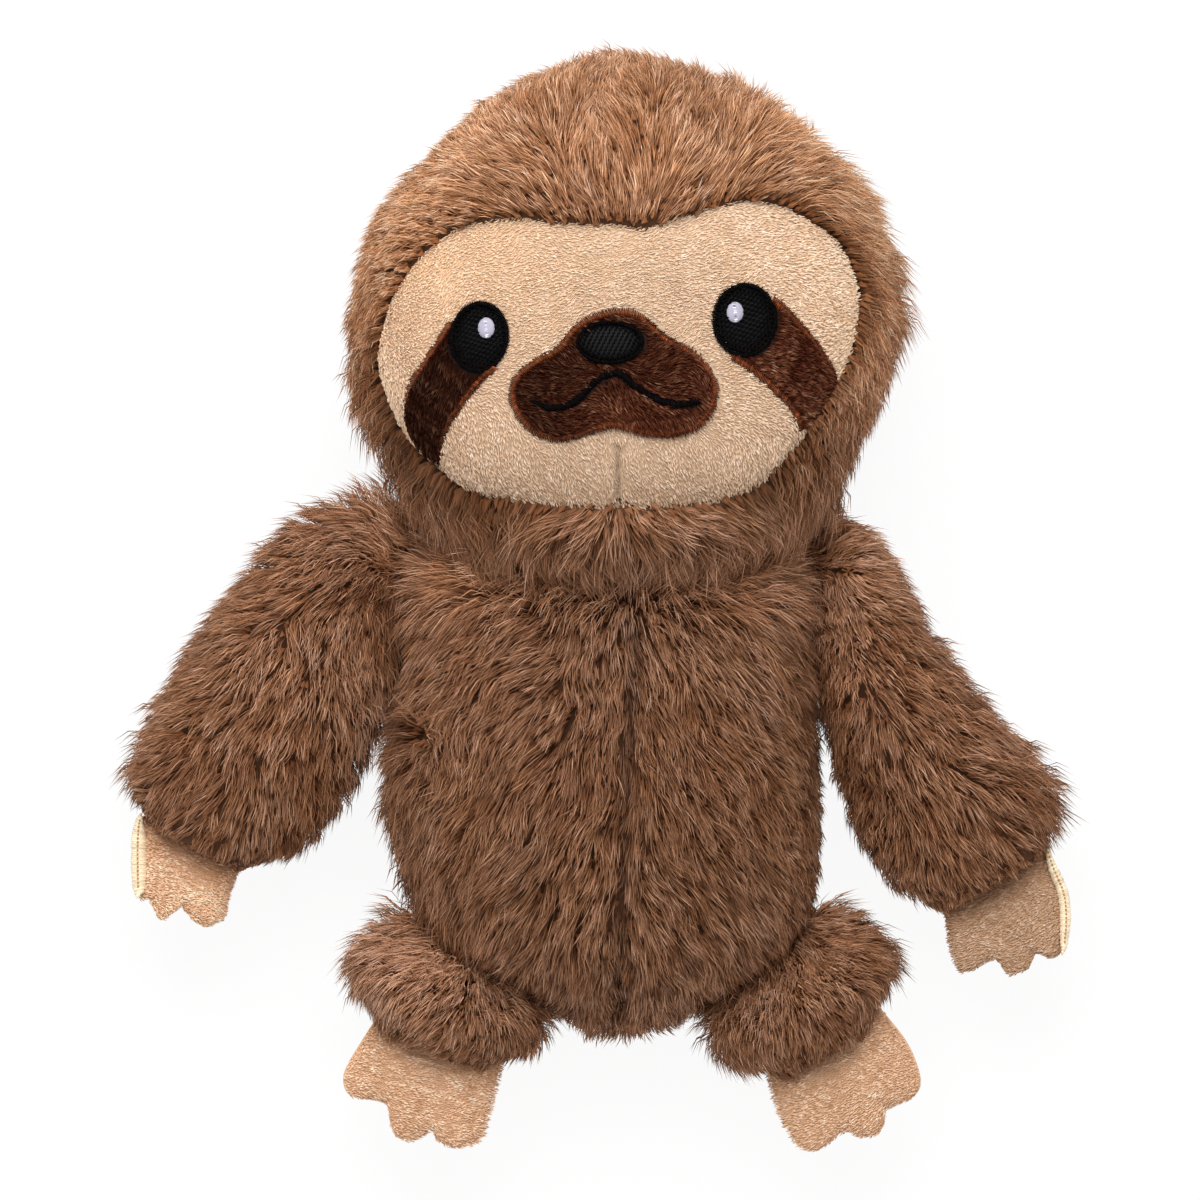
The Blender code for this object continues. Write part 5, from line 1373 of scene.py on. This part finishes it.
def nap(points, faces, count, way, looks, base, rng, keep=None, seed=3, strong=0, tone=None):
    """Short pile: straight strands that lean along a way, with a drift in direction and shade.

    Streaks are waves that are drawn out four times along the way: on a crest strands stand higher and
    get painted light, and between crests they get painted shade. The way may be a function of the places.
    """
    normals = point_normals(points, faces)
    keep = keep or (lambda spots: np.ones(len(spots)))
    places, normals = scatter(points, faces, normals, count, keep, rng)
    ways = way(places) if callable(way) else np.broadcast_to(np.array(way, float), places.shape)
    flow = tangent(ways, normals)
    along = (places * flow).sum(1, keepdims=True) * flow
    warp = wave(places, *NAP_WARP, seed + 6)[:, None] * np.cross(normals, flow)
    streak = ripple(places - 0.80 * along + warp, STREAK_SIZES[0] + STREAK_SIZES[1] * strong, seed + 7)
    swing = wave(places, *NAP_TURN, seed) + rng.normal(0, 0.13, len(places))
    beside = np.cross(normals, flow)
    flow = flow * np.cos(swing)[:, None] + beside * np.sin(swing)[:, None]
    long = looks.nap * (1 + 0.4 * strong) * rng.uniform(0.7, 1.3, (len(places), 1))
    rise = np.clip(0.34 + wave(places, *NAP_STAND, seed + 1) + 0.16 * streak, 0.10, 1)[:, None]
    tips = places + long * (normals * rise + flow * 0.9)
    bends = places + long * (normals * rise * 0.85 + flow * 0.45)
    paths = np.stack((places - normals * NAP_ROOT, bends, tips), 1)
    widths = looks.nap_width * rng.uniform(0.8, 1.3, (len(places), 1))
    facing = unit(normals + 0.3 * flow)
    # Painted light on the streaks' crests and painted shade between them, with a random drift
    shade = wave(places, *NAP_SHADE, seed + 2) + (0.16 + 1.05 * strong) * streak
    shade = shade + rng.normal(0, 0.07 + 0.10 * strong, len(places))
    body = np.asarray(base)[None] * np.exp(shade[:, None] * np.array((0.8, 1.15, 1.6 - 0.3 * strong)))
    if tone is not None:
        body = body * tone(places)
    # Painted shade at the root of each nap strand, and a little painted light at its tip
    levels = np.array((0.70 - 0.1 * strong, 0.98, 1.06))
    colours = np.clip(body[:, None] * levels[None, :, None], 0, 1)
    return paths, widths, colours, facing


class PLUSH_OT_face(bpy.types.Operator):
    """The beige face panel: puffed cloth with its chin dart, and its short pile."""

    bl_idname = "plush.face"
    bl_label = "Face"

    def execute(self, context):
        looks = context.scene.plush_face
        rng = np.random.default_rng(SEEDS["face"])
        flat, faces = disc(FACE_LINE, FACE_MIDDLE, DISC_RINGS["face"])
        points = face_surface(flat, looks)
        shell = slab(points, faces, UP * FACE_THICKNESS)
        dress(new_piece("face_cloth", *shell, MATERIALS["beige"]), "head", "velboa_beige", "face_panel")
        made = nap(points, faces, NAP_STRANDS["face"], face_way, looks, looks.beige, rng, bare_face,
                   tone=face_light_and_warmth)
        pile_piece("face_pile", "head", "velboa_beige", "face_panel", MATERIALS["nap"], made, rng, 0.2)
        return {"FINISHED"}


def face_way(places):
    """The face's nap runs across above, and turns down towards the chin."""
    low = below(places[:, 1], FACE_MIDDLE[1] - FACE_TURN[0], FACE_TURN[1])
    way = -1.15 * low + 0.10 + wave(places, *FACE_WAVE)
    return np.stack((np.cos(way), np.sin(way), 0 * low), 1)


def face_light_and_warmth(places):
    """Painted light: the face is paler towards both sides, at the top and at the lower left. Painted shade:
    it is darker low down and along the chin dart. It is warmer at the upper right.
    """
    share = (places[:, :2] - FACE_MIDDLE) / FACE_SIZE
    pale = 0.95 + 0.27 * share[:, 0] ** 2 + 0.06 * smooth(share[:, 1], 0.2, 0.7)
    pale = pale - 0.08 * smooth(-share[:, 1], 0.3, 0.9)
    pale = pale + 0.10 * smooth(share[:, 0], 0.1, 0.8) * smooth(-share[:, 1], 0, 0.7)
    pale = pale * (1 - 0.45 * chin_dart(places, DART_HALVES["tone"]))
    warm = smooth(-share[:, 0], -0.3, 0.8) * smooth(share[:, 1], -0.2, 0.6)
    return pale[:, None] * np.exp(warm[:, None] * np.array((0.02, -0.02, -0.10)))


def bare_face(places):
    """1 on the open face and 0 where muzzle, eyes or eye patches cover it."""
    open_face = np.ones(len(places), bool)
    for line in covered_lines():
        open_face &= reach_of(line, line.mean(0), places) > 1
    return open_face * (1 - 0.8 * chin_dart(places, DART_HALVES["bare"]))


def muzzle_line():
    """The muzzle's outline, with its middle."""
    middle = FACE_MIDDLE + np.array(MUZZLE_PLACE_SHARE) * FACE_SIZE
    return spline(middle + np.array(MUZZLE_OUTLINE_SHARES) * MUZZLE_SIZE, 180, True), middle


def patch_edges(side):
    """Upper and lower edge of an eye patch."""
    return [spline(FACE_MIDDLE + np.array(shares[side]) * FACE_SIZE, PATCH_GRID[1])
            for shares in (PATCH_UPPER_SHARES, PATCH_LOWER_SHARES)]


def eye_line(side):
    """An eye's outline, with its middle."""
    middle = FACE_MIDDLE + np.array(EYE_PLACE_SHARES[side]) * FACE_SIZE
    return oval_line(middle, *EYE_HALF_SIZES[side], EYE_LEAN[side]), middle


def covered_lines():
    """Outlines of everything that is sewn onto the face."""
    lines = [muzzle_line()[0]]
    for side in SIDES:
        upper, lower = patch_edges(side)
        lines += [eye_line(side)[0], np.concatenate((upper, lower[::-1]))]
    return lines


def threads(middles, ways, halves, rise, looks, colour, rng, name, node, slot, material="thread"):
    """Stitches as rods of three rings: each runs by its half length along its way and arches by rise."""
    shares = np.array((-1, -0.88, 0, 0.88, 1))
    run = middles[:, None] + ways[:, None] * (halves[:, None] * shares[None])[..., None]
    arch = (1 - np.abs(shares) ** 2.5)[None] * rise
    run = face_surface(run.reshape(-1, 2), looks).reshape(len(middles), 5, 3)
    run[:, :, 2] += STITCH_GAP + arch + rng.normal(0, STITCH_SPREAD, (len(middles), 1))
    widths = looks.thread * rng.uniform(0.9, 1.1, (len(middles), 1)) * np.array((0.8, 1, 0.8))
    points, pattern, faces = rods(run, widths, np.broadcast_to(UP, (len(run), 3)), 4)
    # Painted shadow on the stitches low on the face
    shadow = below(middles[:, 1], FACE_MIDDLE[1] - STITCH_SHADOW[0], STITCH_SHADOW[1])
    shade = np.exp(rng.normal(0, 0.35, len(run))) * (1 - 0.5 * shadow)
    body = np.clip(np.asarray(colour)[None] * shade[:, None], 0, 1)
    # Painted highlight along the middle of each stitch and painted shade at its ends, weaker on the white
    # glint
    gloss = 0.10 if slot == "thread_white" else 0.45
    levels = np.array((0.12, *[1 - 0.9 * gloss] * 4, *[1 + gloss] * 4, *[1 - 0.9 * gloss] * 4, 0.12))
    shades = (body[:, None] * levels[None, :, None]).reshape(-1, 3)
    piece = new_piece(name, points.reshape(-1, 3), faces, MATERIALS[material], np.clip(shades, 0, 1),
                      rod_map(len(run), 5, pattern, 4))
    return dress(piece, "head", slot, node)


def along_path(path, pitch):
    """Evenly spaced places on a path, with the directions of the path there."""
    step = np.linalg.norm(np.diff(path, axis=0), axis=1)
    run = np.concatenate(((0,), np.cumsum(step)))
    places = np.linspace(0, run[-1], max(int(run[-1] / pitch), 2))
    spots = np.stack([np.interp(places, run, path[:, axis]) for axis in range(2)], 1)
    return spots, unit(np.gradient(spots, axis=0))


def satin(path, width, rise, looks, colour, rng, name, node, slot, material="thread"):
    """A satin border: stitches side by side across a path, a little aslant."""
    spots, way = along_path(path, looks.pitch)
    across = np.stack((way[:, 1], -way[:, 0]), 1)
    slant = unit(across + way * 0.25 + rng.normal(0, 0.04, across.shape))
    halves = width / 2 * rng.normal(1, 0.15, len(spots))
    return threads(spots, slant, halves, rise, looks, colour, rng, name, node, slot, material)


def fill_stitch(line, middle, turn, length, rise, looks, colour, rng, name, node, slot, material="thread"):
    """A field of stitches inside a line: rows a pitch apart, each cut into lengths like bricks."""
    way = np.array((math.cos(turn), math.sin(turn)))
    beside = np.array((-way[1], way[0]))
    reach = np.abs(line - middle).max() * 1.5
    rows = np.arange(-reach, reach, looks.pitch)
    spots, halves = [], []
    for number, row in enumerate(rows):
        start = -reach - length * (number % 3) / 3
        places = np.arange(start, reach, looks.pitch / 2)
        run = middle + beside * row + places[:, None] * way
        inside = reach_of(line, middle, run) < 1
        if inside.sum() < 2:
            continue
        low, high = places[inside][0], places[inside][-1]
        cuts = np.arange(start, reach, length)
        inner = cuts[(cuts > low + length / 4) & (cuts < high - length / 4)]
        ends = np.concatenate(((low,), inner, (high,)))
        centre = (ends[1:] + ends[:-1]) / 2
        spots.append(middle + beside * row + centre[:, None] * way)
        halves.append((ends[1:] - ends[:-1]) / 2)
    spots, halves = np.concatenate(spots), np.concatenate(halves)
    ways = np.broadcast_to(way, spots.shape)
    return threads(spots, ways, halves, rise, looks, colour, rng, name, node, slot, material)


def patch(name, node, places, faces, count, way, looks, rng):
    """A brown short-pile patch on the face, as cloth and pile."""
    points = face_surface(places, looks, PATCH_RISE)
    shell = slab(points, faces, UP * PATCH_THICKNESS)
    dress(new_piece(name, *shell, MATERIALS["brown"]), "head", "velboa_brown", node)
    made = nap(points, faces, count, way, looks, looks.brown, rng, clear_of_stitches, 9, 1, brown_tone)
    pile_piece(name + "_pile", "head", "velboa_brown", node, MATERIALS["dark_nap"], made, rng, 0.2)


def muzzle_way(places):
    """The muzzle's nap runs a little down to the left, and waves."""
    way = -0.45 + wave(places, *MUZZLE_WAVE)
    return np.stack((np.cos(way), np.sin(way), 0 * way), 1)


def clear_of_stitches(places):
    """1 on the open brown, and 0 under the stitches of eyes, nose and mouth and close beside them."""
    free = np.ones(len(places), bool)
    for side in SIDES:
        free &= reach_of(*eye_line(side), places) > 1
    nose, mouth = nose_and_mouth()
    free &= reach_of(nose, nose.mean(0), places) > 1.1
    gap = np.linalg.norm(places[:, None, :2] - mouth[None, ::3], axis=2).min(1)
    return (free & (gap > MOUTH_GAP)).astype(float)


def nose_and_mouth():
    """The nose's outline and the mouth's line."""
    middle = muzzle_line()[1]
    nose = oval_line(middle + np.array(NOSE_PLACE_SHARE) * MUZZLE_SIZE, NOSE_HALF_WIDTH, NOSE_HALF_HEIGHT, 0)
    return nose, spline(middle + np.array(MOUTH_PATH_SHARES) * MUZZLE_SIZE, 90)


def brown_tone(places):
    """The brown is paler towards the toy's left, and paler low on the muzzle near its middle."""
    low = bell(places[:, 0], FACE_MIDDLE[0], BROWN_LOW_HALF)
    low = low * below(places[:, 1], FACE_MIDDLE[1] - BROWN_LOW[0], BROWN_LOW[1])
    across = np.interp(places[:, 0], BROWN_PLACES, BROWN_SHARES)
    return (across + 0.6 * low)[:, None]


def inset_line(line, middle, inset):
    """A line drawn in towards its middle by an inset."""
    return middle + (line - middle) * (1 - inset / np.linalg.norm(line - middle, axis=1)[:, None])


class PLUSH_OT_muzzle(bpy.types.Operator):
    """The brown muzzle with its satin border, nose and mouth line."""

    bl_idname = "plush.muzzle"
    bl_label = "Muzzle"

    def execute(self, context):
        looks = context.scene.plush_face
        rng = np.random.default_rng(SEEDS["muzzle"])
        rim, middle = muzzle_line()
        inner = inset_line(rim, middle, looks.satin / 2)
        places, faces = disc(inner, middle, DISC_RINGS["muzzle"])
        patch("muzzle_cloth", "muzzle_patch", places, faces, NAP_STRANDS["muzzle"], muzzle_way, looks, rng)
        satin(np.concatenate((inner, inner[:1])), looks.satin, BORDER_RISE, looks, looks.rust, rng,
              "muzzle_satin", "muzzle_border", "thread_rust")
        oval, mouth = nose_and_mouth()
        nose = oval.mean(0)
        ground(oval, nose, "nose_base", "nose", looks, GROUND_RISES["nose"])
        fill_stitch(oval, nose, *FILL_STITCHES["nose"], looks, looks.black, rng, "nose_stitches", "nose",
                    "thread_black", "black_thread")
        satin(np.concatenate((oval, oval[:1])), *RIM_STITCHES["nose"], looks, looks.black, rng, "nose_rim",
              "nose", "thread_black", "black_thread")
        satin(mouth, looks.mouth, MOUTH_RISE, looks, looks.black, rng, "mouth_stitches", "mouth_line",
              "thread_black", "black_thread")
        return {"FINISHED"}


def oval_line(middle, half_width, half_height, lean):
    """Points of an ellipse whose upright axis leans."""
    turn = np.arange(64) * (2 * math.pi / 64)
    x, y = half_width * np.cos(turn), half_height * np.sin(turn)
    cosine, sine = math.cos(lean), math.sin(lean)
    return middle + np.stack((x * cosine - y * sine, x * sine + y * cosine), 1)


def ground(line, middle, name, node, looks, above, material="black", slot="thread_black"):
    """The domed ground under a field of stitches."""
    places, faces = disc(line, middle, DISC_RINGS["ground"])
    points = face_surface(places, looks, above)
    points[:, 2] -= GROUND_DOME * reach_of(line, middle, places) ** 4
    shell = slab(points, faces, UP * GROUND_THICKNESS)
    dress(new_piece(name, *shell, MATERIALS[material]), "head", slot, node)


class PLUSH_OT_eyes(bpy.types.Operator):
    """Both stitched eyes with their glints and brown patches."""

    bl_idname = "plush.eyes"
    bl_label = "Eyes"

    def execute(self, context):
        looks = context.scene.plush_face
        for side in SIDES:
            rng = np.random.default_rng(SEEDS["eyes"])
            line, middle = eye_line(side)
            ground(line, middle, f"{side}_eye_base", f"{side}_eye", looks, GROUND_RISES["eye"])
            fill_stitch(line, middle, *FILL_STITCHES["eye"], looks, looks.black, rng, f"{side}_eye_stitches",
                        f"{side}_eye", "thread_black", "black_thread")
            rim = middle + (line - middle) * (1 - EYE_RIM_INSET / EYE_HALF_SIZES[side][0])
            satin(np.concatenate((rim, rim[:1])), *RIM_STITCHES["eye"], looks, looks.black, rng,
                  f"{side}_eye_rim", f"{side}_eye", "thread_black", "black_thread")
            spot = middle + np.array(GLINT_PLACE_SHARES[side]) * EYE_HALF_SIZES[side]
            glint = oval_line(spot, GLINT_HALF_WIDTH, GLINT_HALF_HEIGHT, 0)
            ground(glint, spot, f"{side}_glint_base", f"{side}_eye_glint", looks, GROUND_RISES["glint"],
                   "glint", "thread_white")
            fill_stitch(glint, spot, *FILL_STITCHES["glint"], looks, looks.glint, rng,
                        f"{side}_glint_stitches", f"{side}_eye_glint", "thread_white")
            self.patch(side, looks, rng)
        return {"FINISHED"}

    def patch(self, side, looks, rng):
        """The brown field between an upper and a lower satin border, from the eye to the hood."""
        edges = patch_edges(side)
        for edge, path in zip(("upper", "lower"), edges):
            satin(path, looks.satin, BORDER_RISE, looks, looks.rust, rng, f"{side}_patch_satin_{edge}",
                  f"{side}_patch_border_{edge}", "thread_rust")
        share = np.linspace(0, 1, PATCH_GRID[0])[:, None, None]
        grid = (edges[0][None] * (1 - share) + edges[1][None] * share).reshape(-1, 2)
        index = np.arange(len(grid)).reshape(PATCH_GRID)
        faces = quads(index[:, :-1], index[:, 1:])
        corners = grid[faces]
        turn = np.cross(corners[:, 1] - corners[:, 0], corners[:, 2] - corners[:, 0]).sum()
        patch(f"{side}_patch_cloth", f"{side}_eye_patch", grid, faces if turn > 0 else faces[:, ::-1],
              NAP_STRANDS["eye_patch"], PATCH_WAYS[side], looks, rng)


def paw_outline(cuff, along, onward, way, half_width, length, shares):
    """The line round a paw: a smooth curve from one end of the cuff round the claws to the other."""
    root = cuff + onward * PAW_CLEARANCE
    spots = [root + along * (half_width * across) + way * (length * ahead) for across, ahead in shares]
    line = spline(np.array(spots)[:, :2], 120)
    closing = np.linspace(line[-1], line[0], 26)[1:-1]
    return np.concatenate((line, closing)), root


class PLUSH_OT_paws(bpy.types.Operator):
    """Both hands and both feet: two layers of short pile with an overlock seam round the hands."""

    bl_idname = "plush.paws"
    bl_label = "Paws"

    def execute(self, context):
        looks = context.scene.plush_paws
        for side in SIDES:
            _, cuff, along, onward = arm_rings(side)
            self.paw(looks, f"{side}_hand", cuff, along, onward, np.array((0, -1, 0)), HAND_HALF_WIDTH,
                     HAND_LENGTH, HAND_OUTLINE_SHARES[side])
            _, cuff, along, onward = leg_rings(side)
            self.paw(looks, f"{side}_foot", cuff, along, onward, onward, FOOT_HALF_WIDTH, FOOT_LENGTH,
                     FOOT_OUTLINE_SHARES[side])
        return {"FINISHED"}

    def paw(self, looks, name, cuff, along, onward, way, half_width, length, shares):
        """A flat pillow: each layer rises from the seam line by (1 - r^3)^(1/2) of the half thickness."""
        rng = np.random.default_rng(SEEDS["paws"])
        line, root = paw_outline(cuff, along, onward, way, half_width, length, shares)
        middle = (root + way * (length * 0.42))[:2]
        tone = PAW_TONES[name]
        if name.endswith("hand"):
            self.overlock(looks, name, line[:SEAM_ENDS[name]], SEAM_WIDTHS[name], middle, cuff[2], rng)
        line = inset_line(line, middle, PAW_INSET)
        flat, faces = disc(line, middle, DISC_RINGS["paw"])
        reach = np.concatenate(((0,), np.repeat(disc_shares(DISC_RINGS["paw"]), len(line))))
        swell = PAW_HALF_THICKNESS * np.sqrt(np.maximum(1 - reach ** 3, 0))

        def shaded(places):
            """Painted shade, deep and warm, by the cuff, where the long pile lies over the paw."""
            open_paw = smooth((places - root) @ onward, *PAW_SHADE_RUN)
            return tone * (0.62 + 0.38 * open_paw)[:, None] ** np.array((0.65, 1.0, 1.3))

        for layer, up in (("front", 1), ("back", -1)):
            height = cuff[2] + up * (swell + PAW_GAP)
            points = np.concatenate((flat, height[:, None]), 1)
            around = faces if up > 0 else faces[:, ::-1]
            shell = slab(points, around, UP * (up * PAW_GAP))
            dress(new_piece(f"{name}_{layer}_cloth", *shell, MATERIALS["paw"]), name, "velboa_beige",
                  f"{name}_{layer}")
            made = nap(points, around, NAP_STRANDS[layer], along - 0.25 * way, looks, looks.beige, rng,
                       strong=0.15, tone=shaded)
            pile_piece(f"{name}_{layer}_pile", name, "velboa_beige", f"{name}_{layer}", MATERIALS["nap"],
                       made, rng, 0.4)

    def overlock(self, looks, name, line, width, middle, level, rng):
        """The overlocked ridge down a hand's outer edge: cream loops and a darker thread along them."""
        spots, way = along_path(line, looks.loop)
        inward = np.stack((-way[:, 1], way[:, 0]), 1)
        inward = inward * np.sign(((middle - spots) * inward).sum(1).mean())
        share = np.linspace(-1, 1, len(spots))
        half = width / 2 * np.sqrt(np.maximum(1 - np.abs(share) ** 3, 0.02))
        turn = np.linspace(-1, 1, 7)
        across = half[:, None] * (1 + np.sin(turn * 1.45)[None] * rng.uniform(0.92, 1.08, (len(spots), 1)))
        flat = spots[:, None] + inward[:, None] * across[..., None]
        flat = flat + way[:, None] * (looks.loop * 0.35 * turn)[None, :, None]
        rise = PAW_HALF_THICKNESS + OVERLOCK_RISE
        height = level + rise * np.cos(turn * 1.3)[None] * rng.uniform(0.97, 1.03, (len(spots), 1))
        run = np.concatenate((flat, height[..., None]), 2)
        self.cord(name + "_overlock", name, run, looks.loop * 0.75, looks.seam, rng)
        pairs = len(spots) // 2 * 2
        chain = (spots + inward * (half * 0.85)[:, None])[2:pairs - 6].reshape(-1, 2, 2)
        shares = np.linspace(-0.2, 1.2, 5)[None, :, None]
        flat = chain[:, :1] * (1 - shares) + chain[:, 1:] * shares
        high = level + rise + CHAIN_RISE + CHAIN_ARCH * (1 - np.linspace(-1, 1, 5) ** 2)
        run = np.concatenate((flat, np.broadcast_to(high[None, :, None], (*flat.shape[:2], 1))), 2)
        self.cord(name + "_chain", name, run, CHAIN_HALF, looks.chain, rng)

    def cord(self, name, body, run, half, colour, rng):
        """Stitches as rods along their paths."""
        widths = half * rng.uniform(0.85, 1.15, (len(run), 1)) * np.ones((1, run.shape[1] - 2))
        points, pattern, faces = rods(run, widths, np.broadcast_to(UP + 0.01, (len(run), 3)), 4)
        shade = np.clip(rng.normal(1, 0.10, len(run)), 0.6, 1.4)[:, None, None]
        shades = np.clip(np.asarray(colour) * shade * np.ones((1, points.shape[1], 1)), 0, 1)
        piece = new_piece(name, points.reshape(-1, 3), faces, MATERIALS["thread"], shades.reshape(-1, 3),
                          rod_map(len(run), run.shape[1], pattern, 4))
        dress(piece, body, "velboa_beige", f"{body}_front")


class PLUSH_OT_stuffing(bpy.types.Operator):
    """Polyester stuffing of the torso, neck, head, limbs and paws."""

    bl_idname = "plush.stuffing"
    bl_label = "Stuffing"

    def execute(self, context):
        looks = context.scene.plush_fur
        depth = looks.sunk + STUFFING_DEPTH
        forms = {"torso": (TORSO_RINGS, BODY_SQUARENESS, clipped_torso),
                 "head": (HEAD_RINGS, BODY_SQUARENESS, clipped_head)}
        for side in SIDES:
            forms[f"{side}_arm"] = (arm_rings(side)[0][2:-2], LIMB_SQUARENESS, np.copy)
            forms[f"{side}_leg"] = (leg_rings(side)[0][2:-2], LIMB_SQUARENESS, np.copy)
        for name, (rings, squareness, clip) in forms.items():
            rings = rings.copy()
            rings[[0, -1], 1:] *= 0 if name in ("torso", "head") else 0.02
            points, faces = loft(drawn_in(rings, depth), 5, 32, squareness)
            points = clip(points)
            self.fluff(name + "_stuffing", points, faces, name, f"{name}_fill")
        plug = ((-1, 0), (-1, 0.97), (0, 1), (1, 0.97), (1, 0))
        self.lump("neck_stuffing", "neck", "neck_fill", 1.0, plug, 48)
        pad = ((-1, 0), (-0.7, 0.7), (0, 1), (0.7, 0.7), (1, 0))
        for paw in ("hand", "foot"):
            for side in SIDES:
                body = f"{side}_{paw}"
                self.lump(f"{body}_padding", body, f"{body}_pad", 0.95, pad, 24)
        return {"FINISHED"}

    def lump(self, name, body, node, share, stations, around):
        """Stuffing in a share of a node's box: stations are place and width, in shares of half the box."""
        low, high = hull(node)
        middle, half = (low + high) / 2, (high - low) / 2 * share
        rings = [(middle + (0, y * half[1], 0), (half[0] * wide, 0, 0), (0, 0, half[2] * wide))
                 for y, wide in stations]
        points, faces = loft(np.array(rings), 4, around, 2)
        self.fluff(name, points, faces, body, node)

    def fluff(self, name, points, faces, body, node):
        """A loose lump: the skin moved in and out by fine noise."""
        normals = point_normals(points, faces)
        uneven = wave(points, *LUMPS)[:, None]
        piece = new_piece(name, points + normals * uneven, faces, MATERIALS["stuffing"])
        dress(piece, body, "fill", node)


class PLUSH_OT_stage(bpy.types.Operator):
    """White floor, soft light from beyond the crown and the camera of the photo."""

    bl_idname = "plush.stage"
    bl_label = "Stage"

    def execute(self, context):
        looks = context.scene.plush_stage
        scene = context.scene
        scene.view_settings.view_transform = "Standard"
        self.floor(looks)
        lamp = bpy.data.lights.new("softbox", "AREA")
        lamp.energy = looks.key
        lamp.shape = "SQUARE"
        lamp.size = LAMP_SIZE
        key = bpy.data.objects.new("softbox", lamp)
        key.location = LAMP_PLACE
        key.rotation_euler = aim(key.location, LAMP_AIM)
        scene.collection.objects.link(key)
        world = bpy.data.worlds.new("soft_room")
        world.use_nodes = True
        back = world.node_tree.nodes["Background"]
        back.inputs["Color"].default_value = (1, 1, 1, 1)
        back.inputs["Strength"].default_value = looks.fill
        scene.world = world
        lens = bpy.data.cameras.new("camera")
        lens.lens = CAMERA_LENS
        lens.sensor_width = SENSOR_WIDTH
        camera = bpy.data.objects.new("camera", lens)
        camera.location = CAMERA_PLACE
        scene.collection.objects.link(camera)
        scene.camera = camera
        return {"FINISHED"}

    def floor(self, looks):
        """A wide sheet that looks white to the camera, with a share of its own shading for shadows."""
        corners = ((-1, -1), (1, -1), (1, 1), (-1, 1))
        points = np.array([(x * FLOOR_HALF, y * FLOOR_HALF, FLOOR_LEVEL) for x, y in corners])
        graph = Graph("floor", Roughness=1.0)
        tree = graph.tree
        graph.into("Base Color", tuple(looks.floor))
        ray = graph.add("ShaderNodeLightPath", output="Is Camera Ray")
        glow = graph.add("ShaderNodeEmission", None, {"Color": (1, 1, 1), "Strength": 1.0})
        shown = graph.add("ShaderNodeMixShader", None, {
            0: ray * (1 - looks.shadow), 1: Shade(graph, graph.shader.outputs[0]), 2: glow})
        tree.links.new(shown.socket, tree.nodes["Material Output"].inputs["Surface"])
        new_piece("floor", points, np.array(((0, 1, 2), (0, 2, 3))), graph.material)


def aim(place, target):
    """Rotation of a lamp at a place that points at the target."""
    return (Vector(target) - Vector(place)).to_track_quat("-Z", "Y").to_euler()


def shaded(colour, share):
    """A share of a colour."""
    return tuple(value * share for value in colour)


class PLUSH_OT_materials(bpy.types.Operator):
    """The materials that the pieces share."""

    bl_idname = "plush.materials"
    bl_label = "Materials"

    def execute(self, context):
        for key, settings in PILES.items():
            MATERIALS[key] = pile_material(*settings)
        for key, (name, group, colour, pale, dark, *rest) in CLOTHS.items():
            base = getattr(getattr(context.scene, group), colour)
            MATERIALS[key] = cloth_material(name, shaded(base, pale), shaded(base, dark), *rest)
        return {"FINISHED"}


class PLUSH_PT_panel(bpy.types.Panel):
    """Buttons for every group of pieces."""

    bl_idname = "PLUSH_PT_panel"
    bl_label = "Plush Sloth"
    bl_space_type = "VIEW_3D"
    bl_region_type = "UI"
    bl_category = "Plush"

    def draw(self, context):
        for operator in OPERATORS:
            self.layout.operator(operator.bl_idname)


GROUPS = {"plush_fur": FurLooks, "plush_face": FaceLooks, "plush_paws": PawLooks, "plush_stage": StageLooks}
OPERATORS = (
    PLUSH_OT_stage, PLUSH_OT_materials, PLUSH_OT_torso, PLUSH_OT_neck, PLUSH_OT_head, PLUSH_OT_limbs,
    PLUSH_OT_face, PLUSH_OT_muzzle, PLUSH_OT_eyes, PLUSH_OT_paws, PLUSH_OT_stuffing,
)


def register():
    """Register the groups of properties, the operators and the panel."""
    for item in (*GROUPS.values(), *OPERATORS, PLUSH_PT_panel):
        bpy.utils.register_class(item)
    for name, group in GROUPS.items():
        setattr(bpy.types.Scene, name, bpy.props.PointerProperty(type=group))


def unregister():
    """Take everything back out."""
    for name in GROUPS:
        delattr(bpy.types.Scene, name)
    for item in reversed((*GROUPS.values(), *OPERATORS, PLUSH_PT_panel)):
        bpy.utils.unregister_class(item)


def main():
    """Make every piece in order."""
    register()
    for operator in OPERATORS:
        group, name = operator.bl_idname.split(".")
        getattr(getattr(bpy.ops, group), name)()


if __name__ == "__main__":
    main()
